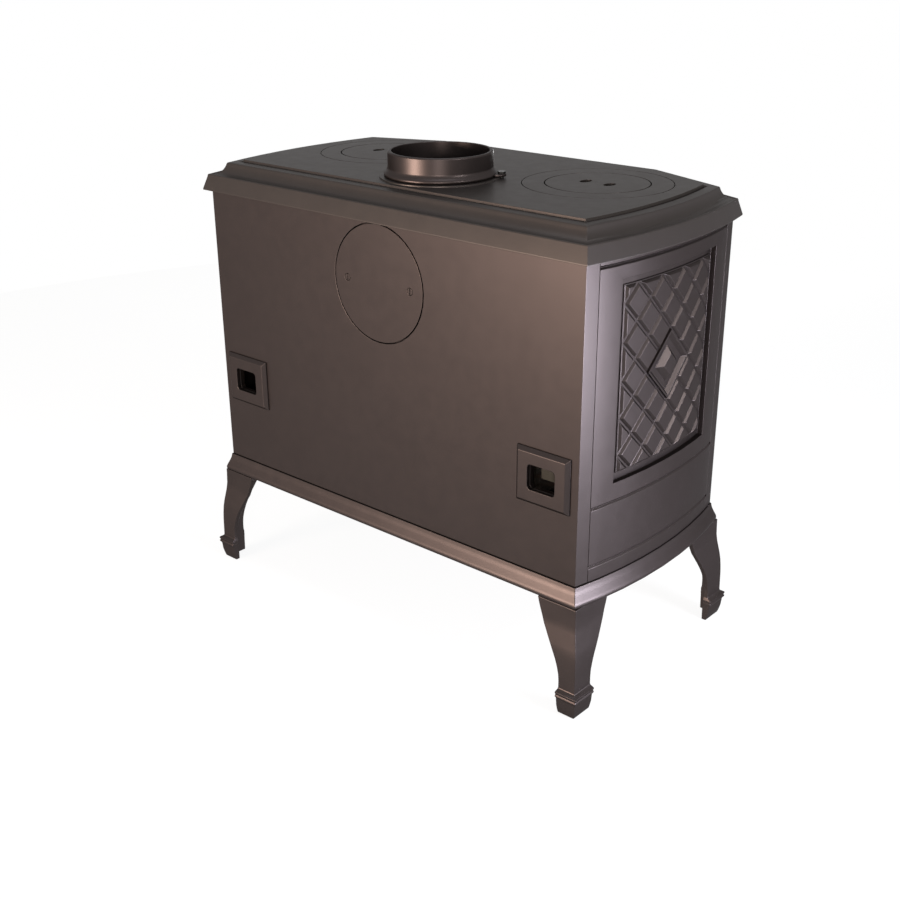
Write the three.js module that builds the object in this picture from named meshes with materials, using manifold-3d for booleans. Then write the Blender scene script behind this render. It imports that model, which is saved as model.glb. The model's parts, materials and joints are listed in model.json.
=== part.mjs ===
// Cast iron wood stove: bowed sides with a diamond lattice, a bay front, two hob plates, cabriole legs.
// Millimetres, +Z up. While the pieces are made, the back of the body lies on y = 0 and the front faces -Y.
import * as THREE from "three";
import { mergeVertices } from "three/addons/utils/BufferGeometryUtils.js";
import Module from "manifold-3d";

const wasm = await Module();
wasm.setup();

// Body plan: straight back, bowed sides, flat front between two slanted corners
const bodyHalfWidth = 350;
const sideDepth = 345;
const sideBow = 20.6;
const cornerWidth = 148;
const bayDepth = 57;
const frontFlatHalf = bodyHalfWidth - cornerWidth;
const bodyDepth = sideDepth + bayDepth;

// Facets of curved pieces
const bowSteps = 8;
const roundSides = 36;
const barSides = 16;
const smallSides = 12;
const boltSides = 6;
const arcSteps = 3;
const leverSteps = 9;

// Main levels
const rimBottom = 163;
const rimTop = 190;
const fasciaBottom = 628;
const surfaceTop = 671;

// Clearances
const seat = 0.3;
const play = 0.4;
const overrun = 2;

// Castings of the body
const rearWall = 9;
const sideWall = 14;
const frontWall = 12;
const cornerReturn = 22;
const grooveLevels = [619, 297, 212];
const grooveWidth = 5;
const grooveDepth = 2.2;

// Lattice of raised diamond tiles in a sunken field
const cell = 51;
const sideColumns = 4;
const latticeRows = 5;
const wingColumns = 2;
const latticeCentre = 461.5;
const channelWidth = 10;
const recessDepth = 8;
const fieldDepth = 6;
const tileTopDepth = 2.2;
const tileGap = 3;
const tileBevel = 3.2;
const tileStep = 0.4;
const bossBevelShare = 0.42;
const bossTopDepth = 0.8;
const ornamentRim = 2.6;
const ornamentBevel = 5;

// Base plate
const deckThickness = 6;
const rimTopOverhang = 2;
const rimBottomOverhang = 10.2;
const rimWall = 16;
const runnerWidth = 14;
const runnerInset = 32;

// Top plate
const deckPlate = 10;
const fasciaOverhang = 11;
const topInset = 23;
const borderDrop = 3;
const borderGrooveInset = 34;
const borderGrooveWidth = 4;
const borderGrooveDepth = 2.4;
const panelInset = 39;
const skirtWidth = 35;

// Flue collar
const flueBack = 132;
const flueRadius = 75;
const flueWall = 5.5;
const collarHeight = 34.7;
const flueSeatRadius = 87;
const flueSeatHeight = 2;
const collarFootRadius = 80.5;
const collarFootHeight = 6;
const spigotDepth = 14;
const earReach = 94;
const earHalfWidth = 11;
const earThickness = 4;
const earAngle = Math.PI / 6;
const earScrewRadius = 3;

// Hob plates, each between the flue collar's seat and the side of the top plate
const hobFlueGap = 8;
const hobMargin = 45;
const hobSetback = 170;
const hobRingWidth = 32;
const hobRingRadius = (bodyHalfWidth - hobMargin - flueSeatRadius - hobFlueGap) / 2;
const hobDiscRadius = hobRingRadius - hobRingWidth;
const hobHalfSpacing = flueSeatRadius + hobFlueGap + hobRingRadius;
const hobBack = bodyDepth - hobSetback;
const hobThickness = 6;
const hobLedge = 9;
const liftHoleHalfSpacing = 20;
const liftHoleHalfWidth = 7;
const liftHoleHalfLength = 11;

// Rear flue opening and air inlets
const blankCentre = 541;
const blankRadius = 85;
const blankThickness = 5;
const blankLedge = 9;
const blankScrewHalfSpacing = 60;
const blankScrewHeadRadius = 5;
const inletInset = 56;
const inletHalfSpacing = bodyHalfWidth - inletInset;
const inletCentre = 331;
const inletHalfWidth = 44;
const inletHalfHeight = 40;
const inletBevel = 5.5;
const inletProud = 7;
const inletHoleHalfWidth = 22.5;
const inletHoleHalfHeight = 18;
const inletHoleCorner = 5;

// Legs
const legTopOffset = 10;
const legFlare = 9;
const legTopWidth = 64;
const legAnkleWidth = 28;
const legTopDepth = 76;
const legAnkleDepth = 37;
const legWall = 8;
const ankleHeight = 41;
const footHeight = 34;
const beadSwell = 6.5;
const beadEndSwell = 1.2;
const legPlate = 8;
const legBoltInset = 32;
const legBossRadius = 13;
const boltRadius = 4;
const boltHeadRadius = 7.5;
const boltHeadHeight = 5.3;
const deckBossHeight = 12;
const deckBossSkin = 3;

// Tie bolts that clamp the top plate down on the base
const rodRadius = 5;
const rodHeadRadius = 8.5;
const rodHeadHeight = 6;
const rodInset = 50;
const rodBack = 62;
const rodHalfSpacing = bodyHalfWidth - rodInset;
const rodFront = sideDepth - rodBack;
const rodBossRadius = 11;
const rodBossDrop = 21;
const rodSocketDepth = 16;

// Firebox
const hearthBottom = 296;
const hearthThickness = 8;
const hearthInset = 65;
const hearthHalfWidth = bodyHalfWidth - hearthInset;
const hearthMargin = 15;
const ledgeHeight = 8;
const ledgeDepth = 12;
const ledgeInset = 35;
const ledgeHalfWidth = hearthHalfWidth - ledgeInset;
const frontLedgeInset = 42;
const frontLedgeHalfWidth = frontFlatHalf - frontLedgeInset;
const grateInset = 92;
const grateHalfWidth = frontFlatHalf - grateInset;
const grateBack = 110;
const grateSetback = 112;
const grateFront = bodyDepth - grateSetback;
const grateRebate = 8;
const grateRebateDepth = 5;
const grateThickness = 8;
const grateSlots = 9;
const grateSlotShare = 0.485;
const grateBorder = 16;
const brickThickness = 28;
const brickHeight = 215;
const rearBrickInset = 40;
const rearBrickHalfWidth = hearthHalfWidth - rearBrickInset;
const sideBrickInset = 31;
const sideBrickOffset = hearthHalfWidth - sideBrickInset;
const sideBrickBack = 46;
const sideBrickSetback = 68;
const sideBrickFront = bodyDepth - sideBrickSetback;
const baffleThickness = 10;
const baffleSetback = 112;
const baffleFront = bodyDepth - baffleSetback;
const baffleBack = 14;
const guardInset = 52;
const guardHalfWidth = frontFlatHalf - guardInset;
const guardHeight = 38;
const guardThickness = 8;
const guardScallops = 5;
const guardSetback = 36;
const guardBack = bodyDepth - guardSetback;

// Firebox door
const doorInset = 14;
const doorHalfWidth = frontFlatHalf - doorInset;
const doorBottom = 296;
const doorTop = 600;
const doorGap = 1.5;
const doorThickness = 15;
const doorLap = 22;
const doorBorder = 9;
const doorPanelDrop = 3;
const stileWidth = 66;
const windowHalfWidth = doorHalfWidth - stileWidth;
const windowBottom = 342;
const windowTop = 554;
const windowCut = 34;
const windowBevel = 6;
const windowBevelShare = 0.7;
const glassLap = 12;
const glassThickness = 4;
const gasketThickness = 2;
const gasketWidth = 9;
const sealWidth = 8;
const sealDepth = 6.9;
const clipWidth = 16;
const clipReach = 10;
const clipThickness = 1.6;
const clipScrewRadius = 2;
const hingeGap = 11;
const hingePinRadius = 4;
const knuckleRadius = 9;
const knuckleHeight = 26;
const lugHeight = 14;
const hingeLevels = [332, 530];

// Door handle
const handleInset = 36;
const handleSide = doorHalfWidth - handleInset;
const handleHeight = 448;
const spindleRadius = 5;
const hubRadius = 11;
const hubLength = 14;
const hubStandoff = 5;
const escutcheonRadius = 14;
const leverReach = 24;
const leverDrop = 52;
const leverRadius = 4.5;
const gripRadius = 9.5;
const gripLength = 84;
const gripSocketDepth = 4.2;
const tongueHalfWidth = 6;
const tongueLength = 26;
const tongueThickness = 6;
const washerThickness = 2;

// Ash drawer
const ashInset = 70;
const ashHalfWidth = frontFlatHalf - ashInset;
const ashBottom = 207;
const ashTop = 275;
const ashFrontLap = 14;
const ashFrontBottomLap = 6;
const ashFrontThickness = 12;
const ashWall = 2;
const ashSideClearance = 4;
const ashPanBack = 60;
const ashPanTop = 264;
const ashKnobHeight = 257;
const knobRadius = 11;
const knobLength = 22;
const airSlotSpacingShare = 0.394;
const airSlotSpacing = ashHalfWidth * airSlotSpacingShare;
const airSlotHalfWidth = airSlotSpacing / 4;
const airSlotHalfHeight = 5;
const airSlotRise = 18;
const airSlotHeight = ashBottom + airSlotRise;
const airPlateMargin = 9;
const airPlateHalfWidth = airSlotSpacing + airSlotHalfWidth + airPlateMargin;
const airPlateHalfHeight = 9;
const airPlateThickness = 3;
const airGuideWidth = 4;
const airTravel = airSlotSpacing / 2;
const smallKnobRadius = 7;
const smallKnobLength = 15;

// Airwash slide above the door
const washDoorGap = 12;
const washHeight = doorTop + washDoorGap;
const washSlotHalfWidth = 38;
const washSlotHalfHeight = 3.5;
const washTravel = 22;
const washPlateHalfWidth = 66;
const washPlateHalfHeight = 9;
const washPlateThickness = 3;
const washPinRadius = 2.6;

// Finishes
function finish(color, roughness, metalness) {
  return new THREE.MeshStandardMaterial({ color, roughness, metalness });
}

const castIron = finish(0x5a524f, 0.5, 0.6);
const topIron = finish(0x55524e, 0.55, 0.6);
const rawIron = finish(0x3a3836, 0.8, 0.5);
const zincSteel = finish(0x8d8d8a, 0.4, 0.9);
const darkSteel = finish(0x2f2e2d, 0.5, 0.7);
const fireclay = finish(0xd8c9a8, 0.95, 0);
const boardClay = finish(0xcdb890, 0.95, 0);
const ceramicGlass = finish(0x1c1a18, 0.05, 0);
const ropeFibre = finish(0x6f6a62, 0.95, 0);
const blackGrip = finish(0x161514, 0.35, 0);

// Geometry helpers

/** Triangles of one flat ring of points, all turning the same way as the ring. */
function capTriangles(ring) {
  const normal = new THREE.Vector3();
  ring.forEach((point, i) => {
    const next = ring[(i + 1) % ring.length];
    normal.add(point.clone().cross(next));
  });
  normal.normalize();
  const steep = Math.abs(normal.z) > Math.SQRT1_2;
  const across = new THREE.Vector3(steep ? 1 : 0, 0, steep ? 0 : 1).cross(normal).normalize();
  const up = normal.clone().cross(across);
  const flat = ring.map((point) => new THREE.Vector2(point.dot(across), point.dot(up)));
  return THREE.ShapeUtils.triangulateShape(flat, []).map(([a, b, c]) => {
    const turn = flat[b].clone().sub(flat[a]).cross(flat[c].clone().sub(flat[a]));
    return turn > 0 ? [a, b, c] : [a, c, b];
  });
}

/** Volume inside an indexed mesh, negative when its faces point inwards. */
function signedVolume(points, index) {
  let sum = 0;
  for (let i = 0; i < index.length; i += 3) {
    sum += points[index[i]].dot(points[index[i + 1]].clone().cross(points[index[i + 2]]));
  }
  return sum;
}

function geometryFrom(points, index) {
  const outward = signedVolume(points, index) > 0;
  const turned = [];
  for (let i = 0; i < index.length; i += 3) {
    const [a, b, c] = index.slice(i, i + 3);
    turned.push(a, outward ? b : c, outward ? c : b);
  }
  const geometry = new THREE.BufferGeometry().setFromPoints(points);
  geometry.setIndex(turned);
  return geometry;
}

/** Closed solid through rings of points, capped at both ends or joined end to end. */
function loft(rings, loop = false) {
  const count = rings[0].length;
  const index = [];
  const spans = loop ? rings.length : rings.length - 1;
  for (let i = 0; i < spans; i += 1) {
    const near = i * count;
    const far = ((i + 1) % rings.length) * count;
    for (let j = 0; j < count; j += 1) {
      const next = (j + 1) % count;
      index.push(near + j, near + next, far + next, near + j, far + next, far + j);
    }
  }
  if (!loop) {
    const last = (rings.length - 1) * count;
    capTriangles(rings[0]).forEach(([a, b, c]) => index.push(a, c, b));
    capTriangles(rings[rings.length - 1]).forEach((corners) => {
      index.push(...corners.map((corner) => last + corner));
    });
  }
  return geometryFrom(rings.flat(), index);
}

function solid(geometry) {
  const bare = geometry.clone();
  bare.deleteAttribute("normal");
  bare.deleteAttribute("uv");
  const merged = mergeVertices(bare);
  return new wasm.Manifold(new wasm.Mesh({
    numProp: 3,
    vertProperties: Float32Array.from(merged.attributes.position.array),
    triVerts: Uint32Array.from(merged.index.array),
  }));
}

function geometryOf(manifold) {
  const { vertProperties, triVerts } = manifold.getMesh();
  const geometry = new THREE.BufferGeometry();
  geometry.setAttribute("position", new THREE.BufferAttribute(Float32Array.from(vertProperties), 3));
  geometry.setIndex(Array.from(triVerts));
  return geometry;
}

const weld = (...parts) => geometryOf(parts.map(solid).reduce((whole, part) => whole.add(part)));
const within = (base, region) => geometryOf(solid(base).intersect(solid(region)));

function carve(base, ...tools) {
  return geometryOf(tools.map(solid).reduce((rest, tool) => rest.subtract(tool), solid(base)));
}

function block(x0, x1, y0, y1, z0, z1) {
  const geometry = new THREE.BoxGeometry(x1 - x0, y1 - y0, z1 - z0);
  return geometry.translate((x0 + x1) / 2, (y0 + y1) / 2, (z0 + z1) / 2);
}

/** Upright round bar. */
function drum(x, y, radius, z0, z1, sides = barSides) {
  const geometry = new THREE.CylinderGeometry(radius, radius, z1 - z0, sides);
  return geometry.rotateX(Math.PI / 2).translate(x, y, (z0 + z1) / 2);
}

/** Round bar that lies along Y. */
function bar(x, z, radius, y0, y1, sides = barSides) {
  const geometry = new THREE.CylinderGeometry(radius, radius, Math.abs(y1 - y0), sides);
  return geometry.translate(x, (y0 + y1) / 2, z);
}

/** Solid of revolution round the Z axis from a closed profile of [radius, height] points. */
function revolve(profile, sides = roundSides) {
  const points = profile.map(([radius, height]) => new THREE.Vector2(radius, height));
  if (THREE.ShapeUtils.area(points) < 0) {
    points.reverse();
  }
  points.push(points[0].clone());
  return new THREE.LatheGeometry(points, sides).rotateX(Math.PI / 2);
}

/** The same solid on the other side of a middle plane. */
function mirrored(geometry, x = -1, y = 1) {
  const copy = geometryOf(solid(geometry)).scale(x, y, 1);
  const index = Array.from(copy.index.array);
  if (x * y > 0) {
    return copy;
  }
  for (let i = 0; i < index.length; i += 3) {
    [index[i + 1], index[i + 2]] = [index[i + 2], index[i + 1]];
  }
  copy.setIndex(index);
  return copy;
}

const bothSides = (geometry) => [geometry, mirrored(geometry)];

/** Flat outline in X and Z, made thick along Y from back to front, with optional holes. */
function slab(outline, holes, back, front) {
  const flat = (points) => points.map(([x, z]) => new THREE.Vector2(x, z));
  const shape = new THREE.Shape(flat(outline));
  holes.forEach((hole) => shape.holes.push(new THREE.Path(flat(hole))));
  const geometry = new THREE.ExtrudeGeometry(shape, { depth: back - front, bevelEnabled: false });
  return geometry.rotateX(Math.PI / 2).translate(0, back, 0);
}

const rectangle = (halfWidth, bottom, top) => [
  [-halfWidth, bottom], [halfWidth, bottom], [halfWidth, top], [-halfWidth, top],
];

const cutRectangle = (halfWidth, bottom, top, corner) => [
  [-halfWidth, bottom], [halfWidth, bottom], [halfWidth, top - corner],
  [halfWidth - corner, top], [corner - halfWidth, top], [-halfWidth, top - corner],
];

// Body outline

const bowRadius = (sideDepth ** 2 / 4 + sideBow ** 2) / (2 * sideBow);
const bowCentre = new THREE.Vector2(bodyHalfWidth + sideBow - bowRadius, -sideDepth / 2);
const bowHalf = bowRadius * Math.asin(sideDepth / 2 / bowRadius);
const slant = Math.atan2(bodyDepth - sideDepth, bodyHalfWidth - frontFlatHalf);
const slantLength = Math.hypot(bodyDepth - sideDepth, bodyHalfWidth - frontFlatHalf);
const slantNormal = new THREE.Vector2(Math.sin(slant), -Math.cos(slant));
const sideCorner = new THREE.Vector2(bodyHalfWidth, -sideDepth);

/** Right half of the plan, moved outwards by offset: back corner, bow, slanted corner, front flat. */
function halfPlan(offset) {
  const radius = bowRadius + offset;
  const start = Math.asin((offset - bowCentre.y) / radius);
  const reach = slantNormal.dot(bowCentre.clone().sub(sideCorner));
  const end = slantNormal.angle() - 2 * Math.PI + Math.acos((offset - reach) / radius);
  const points = [];
  for (let i = 0; i <= bowSteps; i += 1) {
    const angle = start + ((end - start) * i) / bowSteps;
    points.push(new THREE.Vector2(Math.cos(angle), Math.sin(angle)).multiplyScalar(radius).add(bowCentre));
  }
  const front = -bodyDepth - offset;
  const x = sideCorner.x + (offset - slantNormal.y * (front - sideCorner.y)) / slantNormal.x;
  points.push(new THREE.Vector2(x, front));
  return points;
}

/** The whole plan at one height, counter-clockwise seen from above. */
function planRing(offset, z) {
  const right = halfPlan(offset);
  const left = right.map((point) => new THREE.Vector2(-point.x, point.y));
  return [...right.reverse(), ...left].map((point) => new THREE.Vector3(point.x, point.y, z));
}

const plate = (offset, z0, z1) => loft([planRing(offset, z0), planRing(offset, z1)]);
const wallBottom = rimTop + seat;
const wallTop = fasciaBottom - seat;

/** Upright wall that follows the plan, from its outer face inwards. */
const wall = (thickness) => carve(
  plate(0, wallBottom, wallTop),
  plate(-thickness, wallBottom - overrun, wallTop + overrun),
);

/** Point on the right bow: along it from its middle to the front, into the wall, and up. */
function onBow(along, depth, z) {
  const angle = along / bowRadius;
  const radius = bowRadius - depth;
  return new THREE.Vector3(bowCentre.x + radius * Math.cos(angle), bowCentre.y - radius * Math.sin(angle), z);
}

/** Point on the right slanted front corner: along it from its middle to the door, into the wall, and up. */
function onWing(along, depth, z) {
  const middle = slantLength / 2 + along;
  const x = sideCorner.x - middle * Math.cos(slant) - depth * slantNormal.x;
  const y = sideCorner.y - middle * Math.sin(slant) - depth * slantNormal.y;
  return new THREE.Vector3(x, y, z);
}

/** Block laid along a curved or slanted wall. */
function laidBlock(place, from, to, z0, z1, depth0, depth1, steps) {
  const rings = [];
  for (let i = 0; i <= steps; i += 1) {
    const along = from + ((to - from) * i) / steps;
    rings.push([
      place(along, depth0, z0), place(along, depth0, z1), place(along, depth1, z1), place(along, depth1, z0),
    ]);
  }
  return loft(rings);
}

/** V-shaped cutter laid level along a wall. */
function laidGroove(place, from, to, z, steps) {
  const rings = [];
  for (let i = 0; i <= steps; i += 1) {
    const along = from + ((to - from) * i) / steps;
    rings.push([
      place(along, -grooveDepth, z - grooveWidth), place(along, -grooveDepth, z + grooveWidth),
      place(along, grooveDepth, z),
    ]);
  }
  return loft(rings);
}

// Lattice

/** Keeps the part of a convex outline where side(point) is not negative. */
function clipped(outline, side) {
  return outline.flatMap((point, i) => {
    const next = outline[(i + 1) % outline.length];
    const here = side(point);
    const there = side(next);
    const kept = here >= 0 ? [point] : [];
    if ((here >= 0) !== (there >= 0)) {
      kept.push(point.clone().lerp(next, here / (here - there)));
    }
    return kept;
  });
}

/** Outline of one diamond tile, drawn in from its cell by inset and cut by the edge of the field. */
function tileOutline(centre, halfDiagonal, inset, halfWidth, halfHeight) {
  const reach = halfDiagonal - inset * Math.SQRT2;
  const diamond = [[reach, 0], [0, reach], [-reach, 0], [0, -reach]];
  let outline = diamond.map(([a, b]) => new THREE.Vector2(centre.x + a, centre.y + b));
  outline = clipped(outline, (point) => halfWidth - inset - point.x);
  outline = clipped(outline, (point) => halfWidth - inset + point.x);
  outline = clipped(outline, (point) => halfHeight - inset - point.y);
  return clipped(outline, (point) => halfHeight - inset + point.y);
}

/** Bevelled tile through levels of inset and depth. */
function tile(place, centre, halfDiagonal, levels, halfWidth, halfHeight) {
  const rings = levels.map(({ inset, depth }) => {
    const outline = tileOutline(centre, halfDiagonal, inset, halfWidth, halfHeight);
    return outline.map((point) => place(point.x, depth, latticeCentre + point.y));
  });
  return loft(rings);
}

/** Raised field with its tiles, laid on a wall round the lattice centre. */
function lattice(place, columns, withBoss, steps) {
  const halfWidth = (columns * cell) / 2;
  const halfHeight = (latticeRows * cell) / 2;
  const half = cell / 2;
  const field = laidBlock(
    place, -halfWidth, halfWidth, latticeCentre - halfHeight, latticeCentre + halfHeight,
    fieldDepth, recessDepth + grooveDepth, steps,
  );
  const edge = tileGap / 2;
  const levels = [
    { inset: edge, depth: recessDepth },
    { inset: edge, depth: fieldDepth - tileStep },
    { inset: edge + tileBevel, depth: tileTopDepth },
  ];
  const tiles = [];
  for (let i = -columns; i <= columns; i += 1) {
    for (let j = -latticeRows; j <= latticeRows; j += 1) {
      const centre = new THREE.Vector2(i * half, j * half);
      const inOrnament = withBoss && Math.abs(i) + Math.abs(j) < 2;
      if ((i + j + columns + latticeRows) % 2 === 0 && !inOrnament) {
        tiles.push(tile(place, centre, half, levels, halfWidth, halfHeight));
      }
    }
  }
  if (!withBoss) {
    return { field, tiles };
  }
  const middle = new THREE.Vector2();
  const bossLevels = [
    { inset: 0, depth: recessDepth + grooveDepth },
    { inset: 0, depth: recessDepth },
    { inset: half * bossBevelShare * Math.SQRT1_2, depth: bossTopDepth },
  ];
  const boss = tile(place, middle, half, bossLevels, halfWidth, halfHeight);
  const rimLevels = [{ inset: edge, depth: tileTopDepth }, { inset: edge, depth: recessDepth + grooveDepth }];
  const rim = tile(place, middle, cell, rimLevels, halfWidth, halfHeight);
  const slope = recessDepth - tileTopDepth;
  const lift = ornamentBevel / slope;
  const sunkLevels = [
    { inset: edge + ornamentRim - tileTopDepth * lift, depth: 0 },
    { inset: edge + ornamentRim + ornamentBevel, depth: recessDepth },
  ];
  const sunk = tile(place, middle, cell, sunkLevels, halfWidth, halfHeight);
  return { field, tiles, ornament: { rim, sunk, boss } };
}

/** Cuts the recess into a wall and sets the lattice in it. */
function withLattice(base, place, columns, withBoss, steps) {
  const halfWidth = (columns * cell) / 2 + channelWidth;
  const halfHeight = (latticeRows * cell) / 2 + channelWidth;
  const recess = laidBlock(
    place, -halfWidth, halfWidth, latticeCentre - halfHeight, latticeCentre + halfHeight,
    -overrun, recessDepth, steps,
  );
  const { field, tiles, ornament } = lattice(place, columns, withBoss, steps);
  const filled = weld(carve(base, recess), field, ...tiles);
  if (!ornament) {
    return filled;
  }
  return weld(carve(weld(filled, ornament.rim), ornament.sunk), ornament.boss);
}

// Body castings

const farOut = bodyHalfWidth + bodyDepth;
const seamBack = -cornerReturn;
const seamFront = cornerReturn - sideDepth;

function basePlate() {
  const flareShares = [
    [0, 0.9], [0.05, 0.98], [0.1, 1], [0.17, 0.99], [0.24, 0.93], [0.33, 0.8], [0.45, 0.6], [0.58, 0.39],
    [0.72, 0.2], [0.86, 0.07], [1, 0],
  ];
  const rimHeight = rimTop - rimBottom;
  const flare = rimBottomOverhang - rimTopOverhang;
  const rings = flareShares.map(([up, out]) => (
    planRing(rimTopOverhang + flare * out, rimBottom + rimHeight * up)
  ));
  const hollow = plate(rimBottomOverhang - rimWall, rimBottom - overrun, rimTop - deckThickness);
  const bossTop = rimTop + deckBossHeight;
  const bosses = legCorners.map(({ x, y }) => drum(x, y, legBossRadius, rimTop - seat, bossTop));
  const boltHoles = legCorners.map(({ x, y }) => (
    drum(x, y, boltRadius + play, rimBottom, bossTop - deckBossSkin)
  ));
  const rodHoles = rodPlaces.map(([x, y]) => drum(x, y, rodRadius + play, rimBottom, rimTop + overrun));
  const runnerMiddle = ashHalfWidth - runnerInset;
  const runner = block(
    runnerMiddle - runnerWidth / 2, runnerMiddle + runnerWidth / 2,
    frontWall - bodyDepth + seat, -ashPanBack + runnerWidth, rimTop - seat, ashBottom + ashWall / 2 - seat,
  );
  return carve(weld(loft(rings), ...bothSides(runner), ...bosses), hollow, ...boltHoles, ...rodHoles);
}

function rearPanel() {
  const region = block(-farOut, farOut, seamBack, overrun, 0, surfaceTop);
  const ledge = block(
    -ledgeHalfWidth, ledgeHalfWidth, -rearWall - ledgeDepth, -rearWall + seat,
    hearthBottom - ledgeHeight - seat, hearthBottom - seat,
  );
  const rebate = bar(0, blankCentre, blankRadius + seat, overrun, -blankThickness - seat, roundSides);
  const bore = bar(0, blankCentre, blankRadius - blankLedge, overrun, -rearWall - overrun, roundSides);
  const inletHole = slab(inletOutline(), [], overrun, -rearWall - overrun)
    .translate(inletHalfSpacing, 0, inletCentre);
  const screwHole = bar(
    blankScrewHalfSpacing, blankCentre, earScrewRadius + play, overrun, -rearWall - overrun,
  );
  const body = weld(within(wall(rearWall), region), ledge);
  return carve(body, rebate, bore, ...bothSides(inletHole), ...bothSides(screwHole));
}

function roundedRectangle(halfWidth, halfHeight, corner, steps = arcSteps) {
  const points = [];
  [[1, 1], [-1, 1], [-1, -1], [1, -1]].forEach(([sx, sz], quarter) => {
    for (let i = 0; i <= steps; i += 1) {
      const angle = (Math.PI / 2) * (quarter + i / steps);
      const x = sx * (halfWidth - corner) + corner * Math.cos(angle);
      points.push([x, sz * (halfHeight - corner) + corner * Math.sin(angle)]);
    }
  });
  return points;
}

const inletOutline = () => roundedRectangle(inletHoleHalfWidth, inletHoleHalfHeight, inletHoleCorner);

function sideCasting() {
  const region = block(0, farOut, seamFront, seamBack - seat, 0, surfaceTop);
  const grooves = grooveLevels.map((z) => laidGroove(onBow, -bowHalf, bowHalf, z, bowSteps));
  const casting = carve(within(wall(sideWall), region), ...grooves);
  return withLattice(casting, onBow, sideColumns, true, bowSteps);
}

function frontCasting() {
  const region = block(-farOut, farOut, -farOut, seamFront - seat, 0, surfaceTop);
  const ledge = block(
    -frontLedgeHalfWidth, frontLedgeHalfWidth,
    frontWall - bodyDepth - seat, frontWall - bodyDepth + ledgeDepth,
    hearthBottom - ledgeHeight - seat, hearthBottom - seat,
  );
  let casting = within(wall(frontWall), region);
  const wingGroove = (z) => laidGroove(onWing, -slantLength / 2, slantLength / 2, z, 1);
  const grooves = grooveLevels.flatMap((z) => bothSides(wingGroove(z)));
  casting = carve(weld(casting, ledge), ...grooves);
  casting = withLattice(casting, onWing, wingColumns, false, 1);
  const mirroredWing = (along, depth, z) => onWing(along, depth, z).multiply(new THREE.Vector3(-1, 1, 1));
  casting = withLattice(casting, mirroredWing, wingColumns, false, 1);
  const through = [overrun + frontWall - bodyDepth, -overrun - bodyDepth];
  const doorway = slab(
    rectangle(doorHalfWidth - doorLap, doorBottom + doorLap, doorTop - doorLap), [], ...through,
  );
  const ashway = slab(rectangle(ashHalfWidth, ashBottom, ashTop), [], ...through);
  const washSlot = slab(
    rectangle(washSlotHalfWidth, washHeight - washSlotHalfHeight, washHeight + washSlotHalfHeight),
    [], ...through,
  );
  const lugs = hingeLevels.flatMap((z) => [
    drum(hingeX, hingeY, knuckleRadius, z, z + lugHeight),
    block(
      hingeX - knuckleRadius, hingeX + knuckleRadius / 3, hingeY, frontWall / 2 - bodyDepth,
      z, z + lugHeight,
    ),
  ]);
  const pinHoles = hingeLevels.map((z) => (
    drum(hingeX, hingeY, hingePinRadius + seat, z - overrun, z + lugHeight + overrun)
  ));
  return carve(weld(casting, ...lugs, ...airwashGuides()), doorway, ashway, washSlot, ...pinHoles);
}

// Top plate, hob plates and flue collar

function topPlate() {
  const edgeShares = [
    [0, 0], [0, 0.05], [0.185, 0.5], [0.195, 0.55], [0.22, 0.582], [0.26, 0.592], [0.3, 0.582],
    [0.325, 0.562], [0.36, 0.566], [0.44, 0.58], [0.53, 0.6], [0.61, 0.632], [0.68, 0.672], [0.75, 0.735],
    [0.81, 0.81], [0.85, 0.88], [0.88, 0.95], [0.91, 0.985], [1, 1],
  ];
  const border = surfaceTop - borderDrop;
  const edge = edgeShares.map(([inward, up]) => planRing(
    fasciaOverhang - (fasciaOverhang + topInset) * inward, fasciaBottom + (border - fasciaBottom) * up,
  ));
  const grooveFloor = border - borderGrooveDepth;
  const panel = [
    planRing(-borderGrooveInset, border),
    planRing(-borderGrooveInset - borderGrooveWidth / 3, grooveFloor),
    planRing(-panelInset + borderGrooveWidth / 4, grooveFloor),
    planRing(-panelInset, surfaceTop),
  ];
  const underside = surfaceTop - deckPlate;
  const recess = plate(fasciaOverhang - skirtWidth, fasciaBottom - overrun, underside);
  const bosses = rodPlaces.map(([x, y]) => (
    drum(x, y, rodBossRadius, underside - rodBossDrop, underside + seat)
  ));
  const sockets = rodPlaces.map(([x, y]) => (
    drum(x, y, rodRadius + play, underside - rodBossDrop - overrun, underside - rodBossDrop + rodSocketDepth)
  ));
  const ledge = surfaceTop - hobThickness - seat;
  const hobHoles = [-hobHalfSpacing, hobHalfSpacing].flatMap((x) => [
    drum(x, -hobBack, hobRingRadius + play, ledge, surfaceTop + overrun, roundSides),
    drum(x, -hobBack, hobRingRadius - hobLedge, underside - overrun, surfaceTop, roundSides),
  ]);
  const seatTop = surfaceTop + flueSeatHeight;
  const flueSeat = drum(0, -flueBack, flueSeatRadius, surfaceTop - seat, seatTop, roundSides);
  const bore = flueRadius - flueWall / 2;
  const flueHole = drum(0, -flueBack, bore, underside - overrun, seatTop + overrun, roundSides);
  const earHoles = earPlaces.map(([x, y]) => (
    drum(x, y, earScrewRadius + play, underside - overrun, seatTop + overrun, smallSides)
  ));
  const body = carve(loft([...edge, ...panel]), recess);
  return carve(weld(body, flueSeat, ...bosses), flueHole, ...hobHoles, ...sockets, ...earHoles);
}

const earDistance = (flueSeatRadius + earReach) / 2 - earScrewRadius;
const earPlaces = [earAngle, Math.PI - earAngle].map((angle) => (
  [earDistance * Math.cos(angle), -flueBack - earDistance * Math.sin(angle)]
));

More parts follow.
